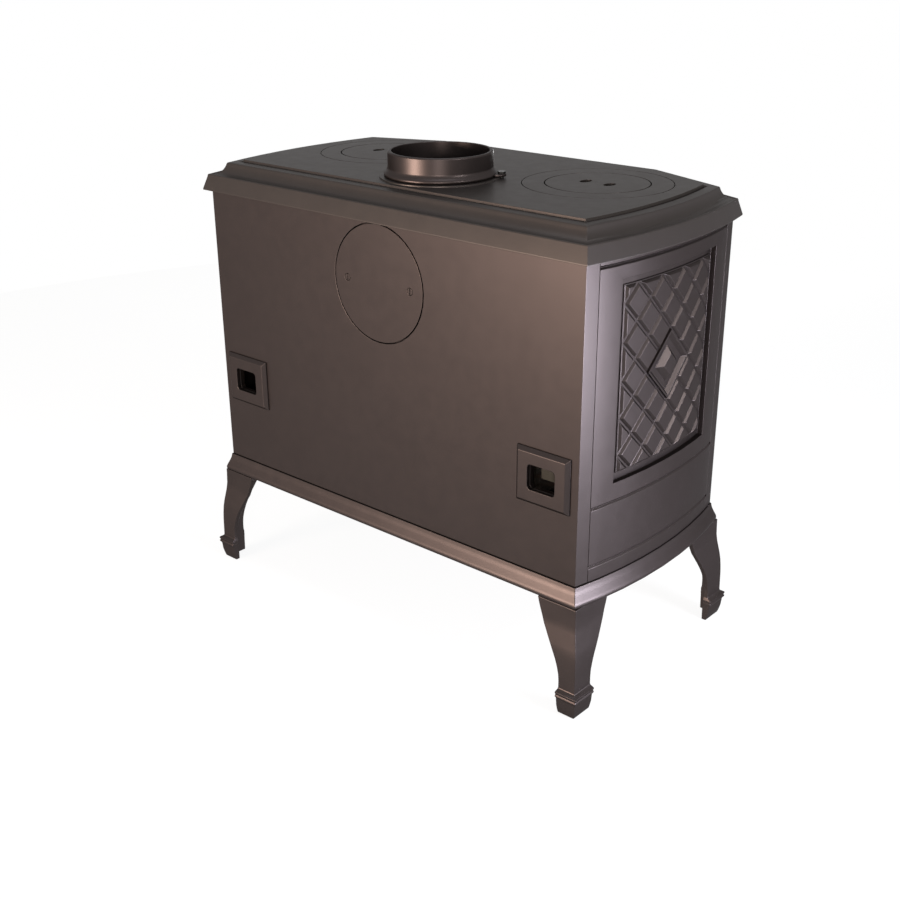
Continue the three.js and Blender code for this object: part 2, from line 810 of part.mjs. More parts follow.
function flueCollar() {
  const bore = flueRadius - flueWall;
  const spigot = flueRadius - flueWall / 2 - play;
  const foot = collarFootRadius - flueRadius;
  const footShares = [
    [0.8, 0], [0.95, 0.25], [1, 0.5], [0.9, 0.8], [0.6, 1.05], [0.3, 1.35], [0.1, 1.7], [0, 2.1],
  ];
  const footPoints = footShares.map(([out, up]) => [flueRadius + foot * out, seat + collarFootHeight * up]);
  const ring = revolve([
    [bore, -spigotDepth], [spigot, -spigotDepth], [spigot, seat], ...footPoints,
    [flueRadius, collarHeight - flueWall / 4], [flueRadius - flueWall / 4, collarHeight],
    [bore, collarHeight],
  ]);
  const top = surfaceTop + flueSeatHeight;
  const body = ring.translate(0, -flueBack, top);
  const ears = [earAngle, Math.PI - earAngle].map((angle) => {
    const middle = earReach - earHalfWidth;
    const strap = block(flueRadius - flueWall / 2, middle, -earHalfWidth, earHalfWidth, seat, earThickness);
    const end = drum(middle, 0, earHalfWidth, seat, earThickness);
    return weld(strap, end).rotateZ(-angle).translate(0, -flueBack, top);
  });
  const holes = earPlaces.map(([x, y]) => (
    drum(x, y, earScrewRadius + play, top - overrun, top + earThickness + overrun, smallSides)
  ));
  return carve(weld(body, ...ears), ...holes);
}

function collarScrew() {
  const under = surfaceTop + flueSeatHeight + earThickness + seat;
  return weld(
    drum(0, 0, earScrewRadius * 2, under, under + earScrewRadius, boltSides),
    drum(0, 0, earScrewRadius, surfaceTop - deckPlate, under + seat, smallSides),
  );
}

function hobRing() {
  const top = surfaceTop;
  const under = top - hobThickness;
  const inner = hobDiscRadius + play;
  return revolve([
    [inner - hobLedge, under - hobThickness], [hobRingRadius - hobLedge - play * 2, under - hobThickness],
    [hobRingRadius - hobLedge - play * 2, under], [hobRingRadius, under], [hobRingRadius, top],
    [inner, top], [inner, under - seat], [inner - hobLedge, under - seat],
  ]);
}

function hobDisc() {
  const under = surfaceTop - hobThickness;
  const disc = drum(0, 0, hobDiscRadius, under, surfaceTop, roundSides);
  const hole = drum(0, 0, liftHoleHalfWidth, under - overrun, surfaceTop + overrun)
    .scale(1, liftHoleHalfLength / liftHoleHalfWidth, 1);
  return carve(disc, ...[-1, 1].map((side) => hole.clone().translate(side * liftHoleHalfSpacing, 0, 0)));
}

// Pieces on the rear panel

function blankingPlate() {
  const disc = bar(0, blankCentre, blankRadius, 0, -blankThickness, roundSides);
  const hole = bar(
    blankScrewHalfSpacing, blankCentre, earScrewRadius + play, overrun, -blankThickness - overrun,
  );
  const headRadius = blankScrewHeadRadius + seat;
  const sink = bar(blankScrewHalfSpacing, blankCentre, headRadius, overrun, -blankThickness / 2);
  return carve(disc, ...bothSides(hole), ...bothSides(sink));
}

function blankingScrew() {
  const shank = bar(0, 0, earScrewRadius, -blankThickness / 4, -rearWall);
  const head = bar(0, 0, blankScrewHeadRadius, 0, -blankThickness / 2 + seat);
  const reach = blankScrewHeadRadius * 2;
  const slot = block(-seat * 2, seat * 2, -blankThickness / 5, overrun, -reach, reach);
  return carve(weld(shank, head), slot);
}

function inletFrame() {
  const ring = (inset, y) => {
    const halfHeight = inletHalfHeight - inset;
    return rectangle(inletHalfWidth - inset, -halfHeight, halfHeight)
      .map(([x, z]) => new THREE.Vector3(x, y, z));
  };
  const body = loft([ring(0, seat), ring(0, inletProud / 4), ring(inletBevel, inletProud)]);
  return carve(body, slab(inletOutline(), [], inletProud + overrun, -overrun));
}

// Legs

const legCorners = [[1, 0], [-1, 0], [1, 1], [-1, 1]].map(([side, front]) => ({
  side,
  front,
  x: side * (bodyHalfWidth - legBoltInset),
  y: front ? legBoltInset - sideDepth : -legBoltInset,
}));

const rodPlaces = [
  [rodHalfSpacing, -rodBack], [-rodHalfSpacing, -rodBack],
  [rodHalfSpacing, -rodFront], [-rodHalfSpacing, -rodFront],
];

/** Angle-shaped section of a leg at one height, with its ridge at the outer corner. */
function legRing(corner, reachX, reachY, step, z) {
  return [[corner, corner], [reachX, corner], [reachX, step], [step, step], [step, reachY], [corner, reachY]]
    .map(([x, y]) => new THREE.Vector3(x, y, z));
}

/** Leg with its body corner at the origin, flaring towards +X and +Y, open behind its two faces. */
function leg() {
  const top = rimBottom - seat;
  const shinShares = [
    [1, 0, 1], [0.94, 0, 0.95], [0.87, 0.02, 0.88], [0.79, 0.06, 0.79], [0.7, 0.2, 0.7], [0.61, 0.42, 0.58],
    [0.52, 0.63, 0.45], [0.43, 0.79, 0.32], [0.34, 0.88, 0.19], [0.25, 0.94, 0.09], [0.16, 0.97, 0.02],
    [0.08, 0.99, 0], [0, 1, 0],
  ];
  const shin = shinShares.map(([up, out, wide]) => {
    const corner = legTopOffset + legFlare * out;
    const width = legAnkleWidth + (legTopWidth - legAnkleWidth) * wide;
    const depth = legAnkleDepth + (legTopDepth - legAnkleDepth) * wide;
    const height = ankleHeight + (top - ankleHeight) * up;
    return legRing(corner, corner - width, corner - depth, corner - legWall, height);
  });
  const footShares = [
    [1.14, 0.12], [1.09, 0.55], [1.05, 0.9], [1, 1], [0.95, 0.8], [0.91, 0.78], [0.87, 0.95], [0.82, 0.9],
    [0.76, 0.62], [0.7, 0.55], [0.4, 0.42], [0.2, 0.2], [0.06, 0], [0, -0.1],
  ];
  const ankle = legTopOffset + legFlare;
  const foot = footShares.map(([up, swell]) => {
    const end = ankle - beadEndSwell * swell;
    const corner = ankle + beadSwell * swell;
    return legRing(corner, end - legAnkleWidth, end - legAnkleDepth, ankle - legWall, footHeight * up);
  });
  const step = legTopOffset - legWall / 2;
  const head = block(
    legTopOffset - legTopWidth, step, legTopOffset - legTopDepth, step, top - legPlate, top,
  );
  const boss = drum(-legBoltInset, -legBoltInset, legBossRadius, top - seat, rimTop - deckThickness - seat);
  const under = top - legPlate - overrun;
  const hole = drum(-legBoltInset, -legBoltInset, boltRadius + play, under, rimTop, smallSides);
  return carve(weld(loft([...shin, ...foot]), head, boss), hole);
}

/** Bolt up through a leg's top plate into the base plate. */
function legBolt() {
  const head = rimBottom - seat * 2 - legPlate;
  return weld(
    drum(0, 0, boltHeadRadius, head - boltHeadHeight, head, boltSides),
    drum(0, 0, boltRadius, head - seat, rimTop + deckBossHeight - deckBossSkin - seat, smallSides),
  );
}

/** Long bolt from under the base plate up into the top plate. */
function tieBolt() {
  const head = rimTop - deckThickness - seat;
  const top = surfaceTop - deckPlate - rodBossDrop + rodSocketDepth - seat;
  return weld(
    drum(0, 0, rodHeadRadius, head - rodHeadHeight, head, boltSides),
    drum(0, 0, rodRadius, head - seat, top, smallSides),
  );
}

// Firebox

const hearthTop = hearthBottom + hearthThickness;

function hearthPlate() {
  const region = block(-hearthHalfWidth, hearthHalfWidth, -farOut, -rearWall - seat * 2, 0, surfaceTop);
  const opening = block(
    -grateHalfWidth, grateHalfWidth, -grateFront, -grateBack, hearthBottom - overrun, hearthTop + overrun,
  );
  const rebate = block(
    -grateHalfWidth - grateRebate, grateHalfWidth + grateRebate, -grateFront - grateRebate,
    grateRebate - grateBack, hearthTop - grateRebateDepth, hearthTop + overrun,
  );
  return carve(within(plate(-hearthMargin, hearthBottom, hearthTop), region), opening, rebate);
}

function fireGrate() {
  const margin = grateRebate - play;
  const bottom = hearthTop - grateRebateDepth + seat;
  const body = block(
    -grateHalfWidth - margin, grateHalfWidth + margin, -grateFront - margin, margin - grateBack,
    bottom, bottom + grateThickness,
  );
  const pitch = (2 * grateHalfWidth - grateBorder) / grateSlots;
  const slots = [];
  for (let i = 0; i < grateSlots; i += 1) {
    const x = (i - (grateSlots - 1) / 2) * pitch;
    const half = (pitch * grateSlotShare) / 2;
    slots.push(block(
      x - half, x + half, grateBorder - grateFront, -grateBorder - grateBack,
      bottom - overrun, bottom + grateThickness + overrun,
    ));
  }
  return carve(body, ...slots);
}

const brickBottom = hearthTop + seat;
const brickTop = brickBottom + brickHeight;
const rearBrick = () => block(
  -rearBrickHalfWidth, rearBrickHalfWidth, -rearWall - seat * 2 - brickThickness, -rearWall - seat * 2,
  brickBottom, brickTop,
);
const sideBrick = () => block(
  sideBrickOffset, sideBrickOffset + brickThickness, -sideBrickFront, -sideBrickBack, brickBottom, brickTop,
);
const baffleBoard = () => block(
  -sideBrickOffset - brickThickness, sideBrickOffset + brickThickness, -baffleFront, -baffleBack,
  brickTop + seat, brickTop + seat + baffleThickness,
);

function logGuard() {
  const top = hearthTop + seat + guardHeight;
  const notch = top - guardHeight / 5;
  const points = [[-guardHalfWidth, hearthTop + seat], [guardHalfWidth, hearthTop + seat]];
  const pitch = (2 * guardHalfWidth) / guardScallops;
  for (let i = guardScallops; i > 0; i -= 1) {
    const x = -guardHalfWidth + pitch * i;
    points.push([x, notch], [x - pitch / 5, top], [x - (pitch * 4) / 5, top]);
  }
  points.push([-guardHalfWidth, notch]);
  return slab(points, [], -guardBack, -guardBack - guardThickness);
}

// Firebox door

const hingeX = -doorHalfWidth - hingeGap;
const doorBack = -bodyDepth - doorGap;
const doorFront = doorBack - doorThickness;
const doorFace = doorFront + doorPanelDrop;
const hingeY = doorBack - hingeGap + seat;
const rebateFloor = doorBack - glassThickness - gasketThickness - seat * 3;

function doorFrame() {
  const body = slab(rectangle(doorHalfWidth, doorBottom, doorTop), [], doorBack, doorFront);
  const windowEdge = (grow) => (
    cutRectangle(windowHalfWidth + grow, windowBottom - grow, windowTop + grow, windowCut + grow / 2)
  );
  const panel = slab(
    rectangle(doorHalfWidth - doorBorder, doorBottom + doorBorder, doorTop - doorBorder),
    [windowEdge(windowBevel).reverse()], doorFace, doorFront - overrun,
  );
  const windowRing = (grow, y) => windowEdge(grow).map(([x, z]) => new THREE.Vector3(x, y, z));
  const flare = windowBevel * windowBevelShare;
  const window = loft([
    windowRing(0, doorBack + overrun), windowRing(0, doorFace + overrun), windowRing(flare, doorFront),
    windowRing(flare, doorFront - overrun),
  ]);
  const rebate = slab(glassEdge(play), [], doorBack + overrun, rebateFloor);
  const [outer, inner] = sealEdges(seat * 2);
  const sealGroove = slab(outer, [inner.reverse()], doorBack + overrun, sealFront - seat);
  const spindleHole = bar(
    handleSide, handleHeight, spindleRadius + play, doorBack + overrun, doorFront - overrun,
  );
  const knuckles = hingeLevels.flatMap((z) => {
    const bottom = z + lugHeight + play;
    const top = bottom + knuckleHeight;
    return [
      drum(hingeX, hingeY, knuckleRadius, bottom, top),
      block(hingeX, overrun - doorHalfWidth, doorFace, hingeY + knuckleRadius / 2, bottom, top),
    ];
  });
  const pinHoles = hingeLevels.map((z) => (
    drum(hingeX, hingeY, hingePinRadius + play, z, z + lugHeight + play + knuckleHeight + overrun)
  ));
  const holes = [spindleHole, ...pinHoles, ...clipHoles()];
  return carve(weld(carve(body, panel), ...knuckles), window, rebate, sealGroove, ...holes);
}

const sealFront = -bodyDepth - seat - sealDepth;

/** Outer and inner edge of the rope seal, grown by a clearance. */
function sealEdges(grow) {
  const half = sealWidth / 2 + grow;
  const middle = doorLap / 2;
  const edge = (inset) => rectangle(doorHalfWidth - inset, doorBottom + inset, doorTop - inset);
  return [edge(middle - half), edge(middle + half)];
}

function doorSeal() {
  const [outer, inner] = sealEdges(0);
  return slab(outer, [inner.reverse()], -bodyDepth - seat, sealFront);
}

const glassEdge = (grow) => rectangle(
  windowHalfWidth + glassLap + grow, windowBottom - glassLap - grow, windowTop + glassLap + grow,
);
const doorGlass = () => slab(glassEdge(0), [], doorBack - seat, doorBack - seat - glassThickness);
const glassGasket = () => slab(
  glassEdge(0), [glassEdge(-gasketWidth).reverse()],
  doorBack - seat * 2 - glassThickness, doorBack - seat * 2 - glassThickness - gasketThickness,
);

// Clip that holds the glass, over its upper edge or, turned over, over its lower edge
const clipPlaces = [
  { label: "upper", edge: windowTop + glassLap, turn: 1 },
  { label: "lower", edge: windowBottom - glassLap, turn: -1 },
];

const clipScrewHeight = ({ edge, turn }) => edge + (turn * clipReach) / 2 + play;

function clipHoles() {
  const floor = doorBack - doorThickness / 2;
  return clipPlaces.map((place) => (
    bar(0, clipScrewHeight(place), clipScrewRadius + play, doorBack + overrun, floor, smallSides)
  ));
}

function glassClip(place) {
  const ends = [place.edge - (place.turn * clipReach) / 2, place.edge + place.turn * clipReach];
  const back = doorBack + seat;
  const body = block(
    -clipWidth / 2, clipWidth / 2, back, back + clipThickness, Math.min(...ends), Math.max(...ends),
  );
  const height = clipScrewHeight(place);
  return carve(body, bar(0, height, clipScrewRadius + seat, back + clipReach, back - overrun, smallSides));
}

function clipScrew(place) {
  const under = doorBack + seat * 2 + clipThickness;
  const height = clipScrewHeight(place);
  return weld(
    bar(0, height, clipScrewRadius * 2, under, under + clipThickness, smallSides),
    bar(0, height, clipScrewRadius, under + clipThickness / 2, doorBack - doorThickness / 3, smallSides),
  );
}

const hingePin = () => drum(0, 0, hingePinRadius, 0, lugHeight + play + knuckleHeight - seat);

// Door handle, made round its own turning axis

function handleSpindle() {
  const tail = tongueBack - doorFace + washerThickness;
  return bar(0, 0, spindleRadius, tail, -hubStandoff - hubLength / 2);
}

const tongueBack = frontWall - bodyDepth + play + tongueThickness;

function handleLever() {
  const start = new THREE.Vector3(0, -hubStandoff - hubLength / 2, 0);
  const pathShares = [[0, 0], [0.16, 0.24], [0.6, 0.5], [0.94, 0.76], [1, 0.92], [1, 1.06]];
  const points = pathShares.map(([out, down]) => (
    start.clone().add(new THREE.Vector3(0, -leverReach * out, -leverDrop * down))
  ));
  const path = new THREE.CatmullRomCurve3(points);
  const section = new THREE.Shape().absarc(0, 0, leverRadius, 0, 2 * Math.PI);
  const arm = new THREE.ExtrudeGeometry(section, {
    steps: leverSteps, curveSegments: barSides / 4, extrudePath: path, bevelEnabled: false,
  });
  const hub = bar(0, 0, hubRadius, -hubStandoff, -hubStandoff - hubLength);
  const collar = bar(0, 0, escutcheonRadius, -seat, -hubStandoff - seat);
  const bore = bar(0, 0, spindleRadius + seat, overrun, -hubStandoff - hubLength / 2 - seat);
  return carve(weld(arm, hub, collar), bore);
}

function handleGrip() {
  const gripShares = [
    [0, 0], [0.62, 0], [0.8, 0.03], [0.86, 0.08], [0.72, 0.13], [0.86, 0.22], [1, 0.5], [0.92, 0.78],
    [0.72, 0.92], [0.4, 0.985], [0, 1],
  ];
  const top = leverDrop + seat;
  const reach = -hubStandoff - hubLength / 2 - leverReach;
  const profile = gripShares.map(([out, down]) => [gripRadius * out, -gripLength * down]);
  const body = revolve(profile, barSides).translate(0, reach, -top);
  const socket = drum(0, reach, leverRadius + seat * 2, -top - gripSocketDepth, -top + overrun, smallSides);
  return carve(body, socket);
}

function latchTongue() {
  const back = tongueBack - doorFace;
  const front = back - tongueThickness;
  const top = tongueHalfWidth + washerThickness;
  const body = block(-tongueHalfWidth, tongueHalfWidth, front, back, -tongueLength, top);
  return carve(body, bar(0, 0, spindleRadius + seat, back + overrun, front - overrun));
}

// Ash drawer

const ashFace = -bodyDepth - seat;
const ashFaceFront = ashFace - ashFrontThickness;
const slotPlaces = [-1, 0, 1].map((i) => i * airSlotSpacing);

function ashPan() {
  const half = ashHalfWidth - ashSideClearance;
  const bottom = ashBottom + ashWall / 2;
  const front = ashFace + seat * 2;
  const outer = block(-half, half, front, -ashPanBack, bottom, ashPanTop);
  const inner = block(
    ashWall - half, half - ashWall, front + ashWall, -ashPanBack - ashWall,
    bottom + ashWall, ashPanTop + overrun,
  );
  const draught = slotPlaces.map((x) => block(
    x - airSlotHalfWidth, x + airSlotHalfWidth, ashFace - overrun, ashFace + ashWall + overrun,
    airSlotHeight - airSlotHalfHeight, airSlotHeight + airSlotHalfHeight,
  ));
  return carve(outer, inner, ...draught);
}

function ashFront() {
  const half = ashHalfWidth + ashFrontLap;
  const bottom = ashBottom - ashFrontBottomLap;
  const top = ashTop + ashFrontBottomLap;
  const face = ashFaceFront + doorPanelDrop;
  const body = slab(rectangle(half, bottom, top), [], ashFace, ashFaceFront);
  const sunk = rectangle(half - doorBorder, bottom + doorBorder, top - doorBorder);
  const panel = slab(sunk, [], face, ashFaceFront - overrun);
  const guideHalf = airPlateHalfWidth + airTravel;
  const guides = [-1, 1].flatMap((side) => {
    const edge = airSlotHeight + side * (airPlateHalfHeight + play);
    const far = edge + side * airGuideWidth;
    const lip = edge - (side * airGuideWidth) / 2;
    const lipBack = face - airPlateThickness - play * 2;
    const lipFront = lipBack - airPlateThickness / 2;
    return [
      block(-guideHalf, guideHalf, lipFront, face + seat, Math.min(edge, far), Math.max(edge, far)),
      block(-guideHalf, guideHalf, lipFront, lipBack, Math.min(lip, far), Math.max(lip, far)),
    ];
  });
  const slots = slotPlaces.map((x) => block(
    x - airSlotHalfWidth, x + airSlotHalfWidth, ashFaceFront - overrun, ashFace + overrun,
    airSlotHeight - airSlotHalfHeight, airSlotHeight + airSlotHalfHeight,
  ));
  const knobHole = bar(
    0, ashKnobHeight, clipScrewRadius + seat, ashFace + overrun, ashFaceFront - overrun, smallSides,
  );
  return carve(weld(carve(body, panel), ...guides), ...slots, knobHole);
}

/** Turned knob on a short stem, on the Y axis, with its seat at y = 0 and a screw tail behind it. */
function knob(radius, length, tail) {
  const knobShares = [
    [0, 0], [0.52, 0], [0.46, 0.1], [0.42, 0.28], [0.62, 0.42], [0.95, 0.55], [1, 0.72], [0.86, 0.9],
    [0.5, 0.98], [0, 1],
  ];
  const profile = knobShares.map(([out, along]) => [radius * out, length * along]);
  const body = revolve(profile, barSides).rotateX(Math.PI / 2);
  return weld(body, bar(0, 0, clipScrewRadius, tail, -length / 4, smallSides));
}

function airSlide() {
  const back = ashFaceFront + doorPanelDrop - play;
  const body = block(
    -airPlateHalfWidth, airPlateHalfWidth, back - airPlateThickness, back,
    airSlotHeight - airPlateHalfHeight, airSlotHeight + airPlateHalfHeight,
  );
  const slots = slotPlaces.map((x) => block(
    x - airSlotHalfWidth, x + airSlotHalfWidth, back - airPlateThickness - overrun, back + overrun,
    airSlotHeight - airSlotHalfHeight, airSlotHeight + airSlotHalfHeight,
  ));
  return carve(body, ...slots);
}

const airKnobX = airSlotSpacing / 2;

function airSlideKnob() {
  return knob(smallKnobRadius, smallKnobLength, 0)
    .translate(airKnobX, ashFaceFront + doorPanelDrop - play - airPlateThickness - seat, airSlotHeight);
}

function airwashSlide() {
  const front = frontWall - bodyDepth + play;
  const plateBody = block(
    -washPlateHalfWidth, washPlateHalfWidth, front, front + washPlateThickness,
    washHeight - washPlateHalfHeight, washHeight + washPlateHalfHeight,
  );
  const pinBack = front + washPlateThickness / 2;
  return weld(plateBody, bar(0, washHeight, washPinRadius, pinBack, -bodyDepth - play, smallSides));
}

function airwashKnob() {
  return knob(smallKnobRadius, smallKnobLength, 0).translate(0, -bodyDepth - play - seat, washHeight);
}

/** Two ribs with lips behind the front, which the airwash plate slides between. */
function airwashGuides() {
  const front = frontWall - bodyDepth;
  const back = front + play + washPlateThickness + play;
  const half = washPlateHalfWidth + washTravel;
  return [-1, 1].flatMap((side) => {
    const edge = washHeight + side * (washPlateHalfHeight + play);
    const far = edge + side * airGuideWidth;
    const lip = edge - (side * airGuideWidth) / 2;
    const lipBack = back + airPlateThickness / 2;
    return [
      block(-half, half, front - seat, lipBack, Math.min(edge, far), Math.max(edge, far)),
      block(-half, half, back, lipBack, Math.min(lip, far), Math.max(lip, far)),
    ];
  });
}

// Assembly

const stove = new THREE.Group();

function addPiece(parent, name, geometry, material, place = [0, 0, 0]) {
  const mesh = new THREE.Mesh(geometry, material);
  mesh.name = name;
  mesh.position.set(...place);
  parent.add(mesh);
  return mesh;
}

addPiece(stove, "base_plate", basePlate(), castIron);
addPiece(stove, "rear_panel", rearPanel(), castIron);
addPiece(stove, "front_casting", frontCasting(), castIron);
addPiece(stove, "top_plate", topPlate(), topIron);

const rightSide = sideCasting();
addPiece(stove, "side_casting_right", rightSide, castIron);
addPiece(stove, "side_casting_left", mirrored(rightSide), castIron);

const legShape = leg();
legCorners.forEach(({ side, front }) => {
  const name = `leg_${front ? "front" : "rear"}_${side > 0 ? "right" : "left"}`;
  const place = [side * bodyHalfWidth, front ? -sideDepth : 0, 0];
  addPiece(stove, name, mirrored(legShape, side, front ? -1 : 1), castIron, place);
});
legCorners.forEach(({ side, front, x, y }) => {
  const name = `leg_bolt_${front ? "front" : "rear"}_${side > 0 ? "right" : "left"}`;
  addPiece(stove, name, legBolt(), zincSteel, [x, y, 0]);
});
rodPlaces.forEach(([x, y]) => {
  const name = `tie_bolt_${y < -rodBack ? "front" : "rear"}_${x > 0 ? "right" : "left"}`;
  addPiece(stove, name, tieBolt(), zincSteel, [x, y, 0]);
});

addPiece(stove, "flue_collar", flueCollar(), castIron);
earPlaces.forEach(([x, y]) => {
  addPiece(stove, `collar_screw_${x > 0 ? "right" : "left"}`, collarScrew(), darkSteel, [x, y, 0]);
});

[["right", 1], ["left", -1]].forEach(([label, side]) => {
  const place = [side * hobHalfSpacing, -hobBack, 0];
  addPiece(stove, `hob_ring_${label}`, hobRing(), topIron, place);
  addPiece(stove, `hob_disc_${label}`, hobDisc(), topIron, place);
  const inletPlace = [side * inletHalfSpacing, 0, inletCentre];
  addPiece(stove, `air_inlet_frame_${label}`, inletFrame(), castIron, inletPlace);
  const screwPlace = [side * blankScrewHalfSpacing, 0, blankCentre];
  addPiece(stove, `blanking_plate_screw_${label}`, blankingScrew(), darkSteel, screwPlace);
});

addPiece(stove, "blanking_plate", blankingPlate(), castIron);

addPiece(stove, "hearth_plate", hearthPlate(), rawIron);
addPiece(stove, "fire_grate", fireGrate(), rawIron);
addPiece(stove, "rear_firebrick", rearBrick(), fireclay);
addPiece(stove, "side_firebrick_right", sideBrick(), fireclay);
addPiece(stove, "side_firebrick_left", mirrored(sideBrick()), fireclay);
addPiece(stove, "baffle_board", baffleBoard(), boardClay);
addPiece(stove, "log_guard", logGuard(), rawIron);

addPiece(stove, "door_frame", doorFrame(), castIron);
addPiece(stove, "door_glass", doorGlass(), ceramicGlass);
addPiece(stove, "glass_gasket", glassGasket(), ropeFibre);
clipPlaces.forEach((place) => {
  addPiece(stove, `glass_clip_${place.label}`, glassClip(place), zincSteel);
  addPiece(stove, `glass_clip_screw_${place.label}`, clipScrew(place), zincSteel);
});
addPiece(stove, "door_rope_seal", doorSeal(), ropeFibre);
hingeLevels.forEach((z, i) => {
  addPiece(stove, `hinge_pin_${i ? "upper" : "lower"}`, hingePin(), zincSteel, [hingeX, hingeY, z]);
});

const handle = new THREE.Group();
handle.position.set(handleSide, doorFace, handleHeight);
addPiece(handle, "handle_spindle", handleSpindle(), zincSteel);
addPiece(handle, "handle_lever", handleLever(), darkSteel);
addPiece(handle, "handle_grip", handleGrip(), blackGrip);
addPiece(handle, "latch_tongue", latchTongue(), darkSteel);
stove.add(handle);

addPiece(stove, "ash_pan", ashPan(), zincSteel);
addPiece(stove, "ash_drawer_front", ashFront(), castIron);
const ashKnobPlace = [0, ashFaceFront + doorPanelDrop - seat, ashKnobHeight];
const ashKnob = knob(knobRadius, knobLength, ashFrontThickness - doorPanelDrop);
addPiece(stove, "ash_drawer_knob", ashKnob, blackGrip, ashKnobPlace);
addPiece(stove, "primary_air_slide", airSlide(), darkSteel);
addPiece(stove, "primary_air_knob", airSlideKnob(), blackGrip);
addPiece(stove, "airwash_slide", airwashSlide(), darkSteel);
addPiece(stove, "airwash_knob", airwashKnob(), blackGrip);

// The finished stove stands centred on its own footprint
const bounds = new THREE.Box3().setFromObject(stove);
const middle = bounds.getCenter(new THREE.Vector3());
stove.position.set(-middle.x, -middle.y, -bounds.min.z);

export default stove;
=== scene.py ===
"""Looks of a cast iron wood stove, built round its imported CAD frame."""

import json
import math

import bpy
from mathutils import Matrix, Vector

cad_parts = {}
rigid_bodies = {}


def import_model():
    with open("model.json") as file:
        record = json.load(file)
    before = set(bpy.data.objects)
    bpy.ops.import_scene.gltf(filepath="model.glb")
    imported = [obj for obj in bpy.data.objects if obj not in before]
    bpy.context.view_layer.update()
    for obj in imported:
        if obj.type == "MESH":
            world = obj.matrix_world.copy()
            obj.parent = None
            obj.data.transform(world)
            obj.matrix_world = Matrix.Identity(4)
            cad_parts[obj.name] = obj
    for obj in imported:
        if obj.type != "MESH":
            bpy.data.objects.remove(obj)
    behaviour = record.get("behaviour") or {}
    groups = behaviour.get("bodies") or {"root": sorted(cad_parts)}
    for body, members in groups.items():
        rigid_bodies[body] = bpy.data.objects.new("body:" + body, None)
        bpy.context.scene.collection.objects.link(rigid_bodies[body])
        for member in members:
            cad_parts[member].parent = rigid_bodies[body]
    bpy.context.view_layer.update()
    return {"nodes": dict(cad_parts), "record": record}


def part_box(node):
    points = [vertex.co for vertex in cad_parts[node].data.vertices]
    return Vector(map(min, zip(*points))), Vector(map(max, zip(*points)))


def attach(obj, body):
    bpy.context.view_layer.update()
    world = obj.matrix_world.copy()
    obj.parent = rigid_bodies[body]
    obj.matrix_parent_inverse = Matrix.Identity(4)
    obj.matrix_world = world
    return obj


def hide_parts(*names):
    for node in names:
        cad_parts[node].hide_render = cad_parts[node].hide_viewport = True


bl_info = {
    "name": "Cast iron wood stove",
    "version": (1, 0, 0),
    "blender": (4, 5, 0),
    "location": "3D View > Sidebar > Stove",
    "description": "Castings, hob plates, flue collar, door and drawer of a wood stove on cabriole legs",
    "category": "Object",
}

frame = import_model()

MM = 0.001
FULL_TURN = 2 * math.pi
UP = Vector((0, 0, 1))
FRONT = Vector((0, -1, 0))
ACROSS = Vector((1, 0, 0))
SIDES = ("right", "left")
LEVELS = ("upper", "lower")
NODE_BODY = {
    node: body for body, nodes in frame["record"]["behaviour"]["bodies"].items() for node in nodes
}

# Degrees between neighbouring faces, above which the edge between them is rounded
CAST_CREASE = 28
LATTICE_CREASE = 24
MOULDED_CREASE = 40
ROUND_CREASE = 50  # takes the rims of round pieces and leaves their facets alone
# Degrees below which faces are shaded as one surface, and below which they become one face
SMOOTH_BELOW = 42
FLAT_BELOW = 1.8

# Points closer than these are one point
CAD_MERGE = 0.02 * MM
TURNED_MERGE = 0.01 * MM

# Length of a cutter, in thicknesses of what it cuts
THROUGH = 4


def linear(code):
    """Linear colour of an sRGB hex code."""
    values = [int(code[i : i + 2], 16) / 255 for i in (1, 3, 5)]
    return tuple(v / 12.92 if v <= 0.04045 else ((v + 0.055) / 1.055) ** 2.4 for v in values)


def length(name, description, default):
    """A size in metres from a default in millimetres."""
    return bpy.props.FloatProperty(
        name=name, description=description, default=default * MM, min=0, precision=5, unit="LENGTH"
    )


def colour(name, description, code):
    """A colour that starts from an sRGB hex code."""
    return bpy.props.FloatVectorProperty(
        name=name, description=description, subtype="COLOR", min=0, max=1, default=linear(code)
    )


class StoveSizes(bpy.types.PropertyGroup):
    """Sizes of the details that the CAD frame leaves out."""

    casting_edge: length("Casting edge", "Rounding of the edges of the painted castings", 0.9)
    moulding_edge: length("Moulding edge", "Rounding of the edges of the top plate's moulding", 0.45)
    leg_edge: length("Leg edge", "Rounding of the ridge and edges of the legs", 1.3)
    hidden_edge: length("Bare casting edge", "Rounding of the unpainted castings inside", 1.4)
    sheet_edge: length("Sheet edge", "Rounding of sheet steel and small turned pieces", 0.35)
    brick_edge: length("Brick edge", "Rounding of the firebricks", 2.6)
    rope_edge: length("Rope edge", "Rounding of the rope seal", 3.0)
    lattice_edge: length("Lattice edge", "Rounding of the edges of the lattice tiles and grooves", 0.45)
    screw_edge: length("Screw edge", "Rounding of the countersunk screw heads", 0.2)
    hob_edge: length("Hob edge", "Rounding of the hob rings and discs", 0.5)
    hob_gap: length("Hob gap", "Gap between a hob disc, its ring and the top plate", 1.6)
    hob_ledge: length("Hob ledge", "Width of the ledge that carries a hob disc or ring", 9)
    lift_offset: length("Lifting hole offset", "Distance of a lifting hole from its disc's middle", 20)
    lift_width: length("Lifting hole width", "Width of a lifting hole", 14)
    lift_length: length("Lifting hole length", "Length of a lifting hole", 22)
    slide_tail: length("Air slide tail", "Blind end of the air slide, which shuts the first slot", 24)
    plate_gap: length("Blanking plate gap", "Open line round the blanking plate", 1.4)
    plate_hole: length("Screw hole radius", "Radius of the blanking plate's countersunk holes", 5.4)


